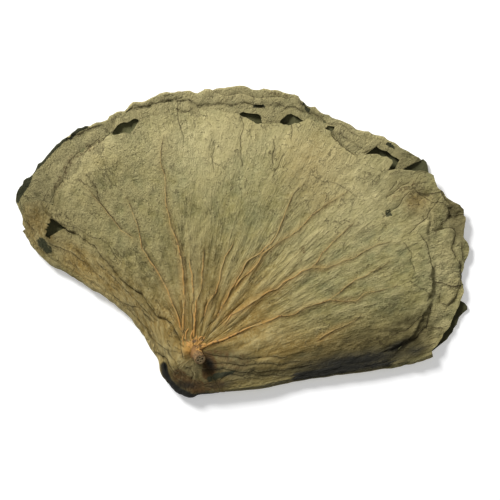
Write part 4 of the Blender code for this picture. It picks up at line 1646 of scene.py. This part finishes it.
class Placer:
    """Moves plan places to where the part is in the frame."""

    def __init__(self) -> None:
        """Reads the part's box."""
        low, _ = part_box(NODE)
        self.origin = np.array([low.x / MM + LEFT_REACH, low.y / MM + FOLD_CLEARANCE, 0.0])

    def metres(self, spots: Array) -> Array:
        """Places in metres in the frame, from plan places with their height."""
        return (spots + self.origin) * MM


def deselect() -> None:
    """Lets go of everything, as an operator acts on all that is selected."""
    bpy.ops.object.select_all(action="DESELECT")


def pick(piece: Piece) -> None:
    """Makes this the one piece that operators act on.

    Args:
        piece: the piece.
    """
    deselect()
    piece.select_set(True)
    bpy.context.view_layer.objects.active = piece


def hand_over(piece: Piece) -> None:
    """Gives the frame a piece: hangs it on the root body, hides the part that it stands for and logs its
    faces.

    Args:
        piece: the finished piece.
    """
    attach(piece, "root")
    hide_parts(NODE)
    LOG.info("%s: %d faces", piece.name, len(piece.data.polygons))


def edit(action: str = "SELECT") -> None:
    """Enters edit mode, with everything selected or deselected."""
    bpy.ops.object.mode_set(mode="EDIT")
    bpy.ops.mesh.select_all(action=action)


def leave_edit() -> None:
    """Leaves edit mode."""
    bpy.ops.object.mode_set(mode="OBJECT")


@dataclass
class BladePiece:
    """One piece of the blade: a flat grid set to the columns of a strip, then given its thickness."""

    name: str
    # The smooth columns, with one more at each side, so that the piece meets its neighbour.
    strip: Strip
    holes: Sequence[Hole]
    placer: Placer
    maker: ReliefMaker
    # How steep a normal tears go through, how near to an edge points snap, and how far a lift is felt.
    upright: float = 0.3
    snap: float = 1.0
    lift_reach: float = 5.0
    # How far the halves are kept from the middle between them, and from which run.
    clear: float = 0.9
    clear_run: float = 90.0
    # Edges that turn more than this, in degrees, stay sharp.
    sharp: float = 65.0

    def build(self) -> None:
        """Adds the relief to the columns, keeps the halves apart and makes the grid."""
        strip, self.relief = self.strip, self.maker.of(self.strip)
        height = self.relief.height
        plan, facing = strip.spots[..., :2], strip.normals()[..., 2] > self.upright
        self.torn = np.zeros(height.shape, bool)
        for hole in self.holes:
            inside, away, nearest = hole.measure(plan)
            height = height + hole.lift * np.exp(-((away / self.lift_reach) ** 2))
            snapped = (away < self.snap) & facing
            plan = np.where(snapped[..., None], nearest, plan)
            self.torn |= inside & ~snapped & facing
        spots = lifted(plan, strip.spots[..., 2]) + strip.normals() * height[..., None]
        middle = Sheets().lower(spots[..., :2]) + self.clear
        front, hem = strip.front[:, None], self.relief.rough[..., 1]
        height = np.where(front == 1, np.maximum(spots[..., 2], middle + self.clear), spots[..., 2])
        below = (hem == 0) & (front == 0) & (strip.runs() > self.clear_run)
        spots[..., 2] = np.maximum(np.where(below, np.minimum(height, middle), height), LOWEST)
        self.strip = strip.columns(1, -1)
        self.relief = Relief(*(getattr(self.relief, kept.name)[1:-1] for kept in fields(Relief)))
        self.torn = self.torn[1:-1]
        self.piece = self.grid(self.placer.metres(spots[1:-1]))

    def tear(self) -> None:
        """Takes out the faces inside the holes."""
        if not self.torn.any():
            return
        pick(self.piece)
        gone = self.torn[self.column, self.ring]
        edit("DESELECT")
        bpy.ops.mesh.select_mode(type="VERT")
        leave_edit()
        self.piece.data.vertices.foreach_set("select", gone)
        bpy.ops.object.mode_set(mode="EDIT")
        bpy.ops.mesh.delete(type="VERT")
        leave_edit()

    def grid(self, places: Array) -> Piece:
        """Sets a primitive grid's points to places.

        Args:
            places: the places, by column and ring.

        Returns:
            The piece.
        """
        columns, rings = places.shape[:2]
        deselect()
        bpy.ops.mesh.primitive_grid_add(x_subdivisions=columns - 1, y_subdivisions=rings - 1, size=2)
        piece = bpy.context.object
        piece.name = piece.data.name = self.name
        shares = (points_of(piece.data) + 1) / 2
        self.column = columns - 1 - np.rint(shares[:, 0] * (columns - 1)).astype(int)
        self.ring = np.rint(shares[:, 1] * (rings - 1)).astype(int)
        move_points(piece.data, places[self.column, self.ring])
        return piece

    def dress(self, underside: bpy.types.Material, upper: bpy.types.Material) -> None:
        """Gives the piece its masks and its two materials.

        Args:
            underside: the outer face's material.
            upper: the inner face's material.
        """
        run = self.strip.runs()
        turn = np.broadcast_to(self.strip.turn[:, None], run.shape)
        masks = {name: getattr(self.relief, name) for name in ("tones", "lines", "darks", "rough", "marks")}
        # Its third number, the fine relief, sets the underside's painted highlight on crests and painted
        # shade in valleys.
        masks["unrolled"] = np.stack([turn, run, np.clip(self.relief.fine, -1, 1)], axis=-1)
        masks["spread"] = lifted(self.maker.weathering.spread(self.strip), self.strip.nub())
        for name, values in masks.items():
            keep_vectors(self.piece.data, name, values[self.column, self.ring])
        for material in (underside, upper):
            self.piece.data.materials.append(material)

    def finish(self) -> None:
        """Tears the holes, closes the pole at the stalk, thickens the blade and smooths its shading."""
        self.tear()
        pick(self.piece)
        edit()
        bpy.ops.mesh.remove_doubles(threshold=1e-6)
        bpy.ops.mesh.dissolve_degenerate(threshold=1e-7)
        leave_edit()
        thicken = self.piece.modifiers.new("thickness", "SOLIDIFY")
        thicken.thickness = BLADE_THICKNESS * MM
        thicken.offset = 0
        thicken.material_offset = 1
        bpy.ops.object.modifier_apply(modifier=thicken.name)
        bpy.ops.object.shade_smooth_by_angle(angle=math.radians(self.sharp))


@dataclass
class Crown:
    """The frayed fibres that stand round the root of the stalk."""

    centre: tuple[float, float] = (2.2, 45.0)
    count: int = 44
    span: tuple[float, float] = (-5.0, 150.0)
    inner: float = 1.0
    shortest: float = 4.5
    # The longest fibres' bearing, their spread to each side and their length.
    longest: tuple[float, float, float] = (45.0, 40.0, 9.0)
    wisps: Sequence[Pairs] = (
        ((-4, 49), (-5.5, 55), (-4.5, 60), (-2, 64)), ((-7, 47), (-8, 53), (-6.5, 58)),
        ((1, 51), (0, 57), (1.5, 62)), ((5, 50), (7, 55), (10, 57), (11, 54)), ((9, 48), (13, 50), (14, 46)),
    )

    def fibres(self) -> list[Vein]:
        """Draws the fibres.

        Returns:
            The fibres as short veins.
        """
        draw = np.random.default_rng(71)
        made = [Vein(wisp, 0.6, 0.3, 1.2) for wisp in self.wisps]
        middle, spread, reach = self.longest
        for bearing in np.linspace(*self.span, self.count):
            bearing = bearing + draw.uniform(-4, 4)
            start = self.inner + draw.uniform(0, 3)
            more = reach * np.exp(-(((bearing - middle) / spread) ** 2))
            length = self.shortest + more * draw.uniform(0.3, 1)
            steps = np.linspace(start, start + length, 5)
            bends = bearing + np.cumsum(draw.uniform(-9, 9, 5))
            points = np.array(self.centre) + steps[:, None] * towards(bends)
            made.append(Vein(points, draw.uniform(0.35, 0.65), 0.3, 1.2))
        return made


@dataclass
class VeinNet:
    """The raised veins, laid on both halves as tapering ridges."""

    placer: Placer
    step: float = 1.6
    sides: int = 8
    sunk: float = 0.5
    reach: float = 260.0
    # The width, and the rise as a share of it, by the distance from the stalk.
    widths: Pairs = ((8, 1.3), (45, 0.68), (150, 0.36), (260, 0.25))
    rises: Pairs = ((20, 0.75), (60, 0.5))
    # The shares of the length where the ends thin out, and the width left there.
    ends: Pairs = ((0, 0.04), (0.85, 1.0))
    end_width: float = 0.35
    # The zigzags' size and length; the breaks' length and softness, and from where on they start.
    zigzag: tuple[float, float] = (0.8, 9.0)
    breaks: tuple[float, float, float] = (16.0, -0.35, 0.25)
    whole: float = 30.0
    # Veins below are pressed flat where the leaf rests, this far above the floor.
    least: float = 0.02
    # Rays that find the leaf start this far above or below it.
    start: float = 60.0

    def line(self, trace: Vein, seed: int) -> tuple[Array, Array]:
        """Samples a vein, with small zigzags.

        Args:
            trace: the vein.
            seed: starts its random draw.

        Returns:
            The plan points and the share of its length at each.
        """
        corners = np.array(trace.points, float)
        passed = passed_along(corners)
        along = np.linspace(0, passed[-1], max(int(passed[-1] / self.step), 6))
        points = np.stack([np.interp(along, passed, corners[:, axis]) for axis in (0, 1)], axis=-1)
        size, length = self.zigzag
        sway = size * Noise(seed).along(along / length)
        return points + sway[:, None] * self.across(points), along / passed[-1]

    @staticmethod
    def across(points: Array) -> Array:
        """The level way to the left of a line.

        Args:
            points: the line's points.

        Returns:
            A unit vector at each point.
        """
        ahead = np.gradient(points, axis=0)
        ahead /= np.linalg.norm(ahead, axis=1, keepdims=True)
        return np.stack([-ahead[:, 1], ahead[:, 0], *(0 * ahead[:, 2:]).T], axis=1)

    def tube(self, trace: Vein, seed: int, grounds: Sequence[BVHTree], out: int) -> tuple[Array, Array]:
        """The rings of one vein's ridge, resting on the leaf.

        Args:
            trace: the vein.
            seed: starts its random draw.
            grounds: the surfaces that it lies on.
            out: 1 for a vein on top, -1 for one below.

        Returns:
            The places by ring and side, and the vein's numbers for its material.
        """
        points, share = self.line(trace, seed)
        spots = self.placer.metres(lifted(points, out * self.start))
        heights = []
        for spot in spots:
            hits = [ground.ray_cast(Vector(spot), Vector((0, 0, -out)))[0] for ground in grounds]
            last = heights[-1] if heights else 0.01
            heights.append(out * max([out * hit.z for hit in hits if hit], default=out * last))
        spots[:, 2] = heights
        away = np.linalg.norm(points - Sheets.STALK, axis=1)
        ends = between(*self.ends, share)
        width = along_curve(self.widths, away) * trace.width * (self.end_width + (1 - self.end_width) * ends)
        length, *shown = self.breaks
        shown = smooth(*shown, Noise(seed + 50).along(passed_along(points) / length))
        rise = along_curve(self.rises, away) * width * ends * np.where(away < self.whole, 1, shown)
        around = np.arange(self.sides) * 2 * np.pi / self.sides
        lift = np.sin(around)
        up = np.where(lift > 0, rise[:, None] * lift, self.sunk * lift) * MM
        aside = (width[:, None] * np.cos(around) * MM)[..., None]
        rings = spots[:, None] + self.across(spots)[:, None] * aside
        rings[..., 2] = np.maximum(rings[..., 2] + out * up, self.least * MM)
        numbers = np.stack([np.clip(away / self.reach, 0, 1), np.full(len(away), trace.glow), share], axis=1)
        return rings, np.broadcast_to(numbers[:, None], (*rings.shape[:2], 3))

    def build(self, tops: Sequence[Piece], under: Piece, hidden: Sequence[Vein]) -> Piece:
        """Makes all the veins one piece.

        Args:
            tops: the half on top and the stalk's stub.
            under: the half below.
            hidden: its veins.

        Returns:
            The piece.
        """
        *grounds, floor_side = (ground_of(piece) for piece in (*tops, under))
        vertices, faces, numbers = [], [], []
        veins = [(trace, grounds, 1) for trace in (*Lines.VEINS, *Crown().fibres())]
        veins += [(trace, [floor_side], -1) for trace in hidden]
        for seed, (trace, ground, out) in enumerate(veins, 100):
            rings, values = self.tube(trace, seed, ground, out)
            first, count = sum(len(v) for v in vertices), len(rings)
            index = first + np.arange(count * self.sides).reshape(count, self.sides)
            beside = np.roll(index, -1, axis=1)
            quads = np.stack([index[:-1], beside[:-1], beside[1:], index[1:]], axis=-1).reshape(-1, 4)
            faces += quads.tolist() + [index[0, ::-1].tolist(), index[-1].tolist()]
            vertices.append(rings.reshape(-1, 3))
            numbers.append(values.reshape(-1, 3))
        mesh = bpy.data.meshes.new("veins")
        mesh.from_pydata(np.vstack(vertices).tolist(), [], faces)
        keep_vectors(mesh, "vein", np.vstack(numbers))
        piece = put_in("veins", mesh)
        pick(piece)
        edit()
        bpy.ops.mesh.normals_make_consistent(inside=False)
        leave_edit()
        bpy.ops.object.shade_smooth()
        mesh.materials.append(VeinFinish().dress())
        return piece


@dataclass
class StalkStub:
    """The cut end of the stalk, leaning from its flared root, with its air channels."""

    placer: Placer
    radius: float = 5.0
    length: float = 14.0
    sunk: float = 1.6
    flare_radius: float = 8.2
    flare_height: float = 4.6
    lean: float = 28.0
    heading: float = -55.0
    channel_depth: float = 4.0
    channels: Sequence[tuple[float, float, float]] = (
        (2.0, 15, 1.2), (2.1, 100, 0.9), (2.0, 190, 1.1), (2.1, 280, 0.8), (0.2, 0, 0.6),
    )
    sides: int = 72
    rings: int = 40
    # The bark's ribs: seed, half their number, length and size. How much the end is rounded off.
    ribs: Sequence[tuple[int, int, float, float]] = ((61, 9, 5.0, 0.28), (62, 3, 7.0, 0.35))
    rounding: float = 0.06
    # The ray that finds the leaf starts at this height.
    start: float = 80.0
    # Edges that turn more than this, in degrees, stay sharp.
    sharp: float = 40.0

    def skin(self) -> Piece:
        """A cylinder with its flared root, its ribbed bark and its slightly dished end.

        Returns:
            The piece.
        """
        deselect()
        bpy.ops.mesh.primitive_cylinder_add(
            vertices=self.sides, radius=self.radius * MM, depth=self.length * MM, end_fill_type="TRIFAN"
        )
        stub = bpy.context.object
        stub.name = stub.data.name = "stalk_stub"
        for ring in range(1, self.rings):
            height = (ring / self.rings - 0.5) * self.length * MM
            edit()
            bpy.ops.mesh.bisect(plane_co=(0, 0, height), plane_no=(0, 0, 1))
        leave_edit()
        places = points_of(stub.data) / MM
        turn = np.arctan2(places[:, 1], places[:, 0]) / np.pi + 1
        height = places[:, 2] + self.length / 2
        flare = np.clip(1 - height / self.flare_height, 0, 1) ** 2
        swell = 1 + (self.flare_radius / self.radius - 1) * flare
        for seed, count, length, size in self.ribs:
            ribs = Noise(seed, (2 * count, 64)).at(turn * count, height / length)
            swell = swell + size * ribs / self.radius
        swell = swell - self.rounding * smooth(self.length - 1.0, self.length, height)
        move_points(stub.data, np.column_stack([places[:, :2] * swell[:, None], height]) * MM)
        return stub

    def bored(self, stub: Piece) -> None:
        """Cuts the air channels into the end.

        Args:
            stub: the stub.
        """
        for distance, turn, radius in self.channels:
            spot = distance * towards(turn)
            deselect()
            bpy.ops.mesh.primitive_cylinder_add(
                vertices=14, radius=radius * MM, depth=2 * self.channel_depth * MM,
                location=(spot[0] * MM, spot[1] * MM, self.length * MM),
            )
            cutter = bpy.context.object
            cutter.scale = (1, 0.8, 1)
            cut = stub.modifiers.new("channel", "BOOLEAN")
            cut.object, cut.operation, cut.solver = cutter, "DIFFERENCE", "EXACT"
            pick(stub)
            bpy.ops.object.modifier_apply(modifier=cut.name)
            bpy.data.objects.remove(cutter)

    def build(self, leaf: Piece) -> Piece:
        """Makes the stub and seats it on the leaf.

        Args:
            leaf: the half on top.

        Returns:
            The piece.
        """
        stub = self.skin()
        self.bored(stub)
        x, y, height = (points_of(stub.data) / MM).T
        core = 1 - smooth(0.72, 0.9, np.hypot(x, y) / self.radius)
        # How deep a point lies in a channel, which sets the painted shade there.
        shaded_depth = smooth(0.2, 1.5, self.length - height) * smooth(0.5, 0.95, core)
        top = smooth(self.length - 0.4, self.length - 0.1, height)
        keep_vectors(stub.data, "cut", np.stack([top * core, shaded_depth, height / self.length], axis=1))
        above = Vector(self.placer.metres(np.array([*Sheets.STALK, self.start])))
        hit, _, _, _ = ground_of(leaf).ray_cast(above, Vector((0, 0, -1)))
        axis = Vector((*towards(self.heading + 90), 0))
        tilt = Matrix.Rotation(math.radians(self.lean), 4, axis)
        seat = Matrix.Translation(hit - Vector((0, 0, self.sunk * MM)))
        stub.data.transform(seat @ tilt)
        pick(stub)
        bpy.ops.object.shade_smooth_by_angle(angle=math.radians(self.sharp))
        stub.data.materials.append(StubFinish().dress())
        return stub


@dataclass
class Studio:
    """A pale floor, soft light from the upper left and a camera that looks straight down."""

    field: float = 465.0
    camera_height: float = 1500.0
    aim: tuple[float, float] = (6.9, -6.7)
    sensor: float = 36.0
    floor_size: float = 30.0

    # Square soft lights that face the leaf: name, place and side in metres, and power in watts.
    LIGHTS = (("key", (-1.8, 2.3, 1.9), 1.0, 161), ("fill", (1.2, 0.3, 1.6), 1.6, 2.5))
    SKY = 0.22

    def floor(self) -> None:
        """A plain pale floor."""
        deselect()
        bpy.ops.mesh.primitive_plane_add(size=self.floor_size)
        floor = bpy.context.object
        floor.name = "floor"
        shader = Shader("pale_floor")
        white = (0.92, 0.92, 0.92, 1.0)
        floor.data.materials.append(
            shader.finish(Base_Color=white, Roughness=0.9, Emission_Color=white, Emission_Strength=0.34)
        )

    def lights(self) -> None:
        """The lamps and the sky."""
        for name, place, size, power in self.LIGHTS:
            data = bpy.data.lights.new(name, "AREA")
            data.size, data.energy = size, power
            lamp = put_in(name, data)
            lamp.location = place
            lamp.rotation_euler = (-Vector(place)).to_track_quat("-Z", "Y").to_euler()
        world = bpy.data.worlds.new("sky")
        world.use_nodes = True
        sky = world.node_tree.nodes["Background"].inputs
        sky["Color"].default_value, sky["Strength"].default_value = (1, 1, 1, 1), self.SKY
        bpy.context.scene.world = world

    def camera(self) -> None:
        """A camera straight above, framed as the photograph."""
        data = bpy.data.cameras.new("camera")
        data.sensor_width = self.sensor
        data.lens = self.sensor * self.camera_height / self.field
        camera = put_in("camera", data)
        camera.location = (self.aim[0] * MM, self.aim[1] * MM, self.camera_height * MM)
        bpy.context.scene.camera = camera

    def build(self) -> None:
        """Sets up the floor, the lights and the camera."""
        self.floor()
        self.lights()
        self.camera()
        bpy.context.scene.view_settings.view_transform = "Standard"


def main() -> None:
    """Builds the leaf round the frame, piece by piece."""
    logging.basicConfig(level=logging.INFO, format="%(name)s %(message)s")
    Studio().build()
    plan = LeafPlan()
    right, left, back = plan.bend(Side.RIGHT), plan.bend(Side.LEFT), plan.back()
    hidden = HiddenRibs().traces(back)
    placer, maker = Placer(), ReliefMaker(hidden)
    flipped = Strip(right.spots[::-1], right.turn[::-1] - LeafPlan.FULL_TURN, right.front[::-1])
    front_strips = [back.columns(-1, None), flipped, plan.front(), left, back.columns(0, 1)]
    back_strips = [left.columns(-2, None), back, right.columns(-1, None), right.columns(-2, -1)]
    underside, upper = UndersideFinish().dress(), UpperFaceFinish().dress()
    front_half = BladePiece("front_half", Strip.joined(front_strips), Lines.FRONT_HOLES, placer, maker)
    back_half = BladePiece("back_half", Strip.joined(back_strips), Lines.HEM_HOLES, placer, maker)
    for half in (front_half, back_half):
        half.build()
        half.dress(underside, upper)
        half.finish()
        hand_over(half.piece)
    stub = StalkStub(placer).build(front_half.piece)
    hand_over(VeinNet(placer).build((front_half.piece, stub), back_half.piece, hidden))
    hand_over(stub)


if __name__ == "__main__":
    main()
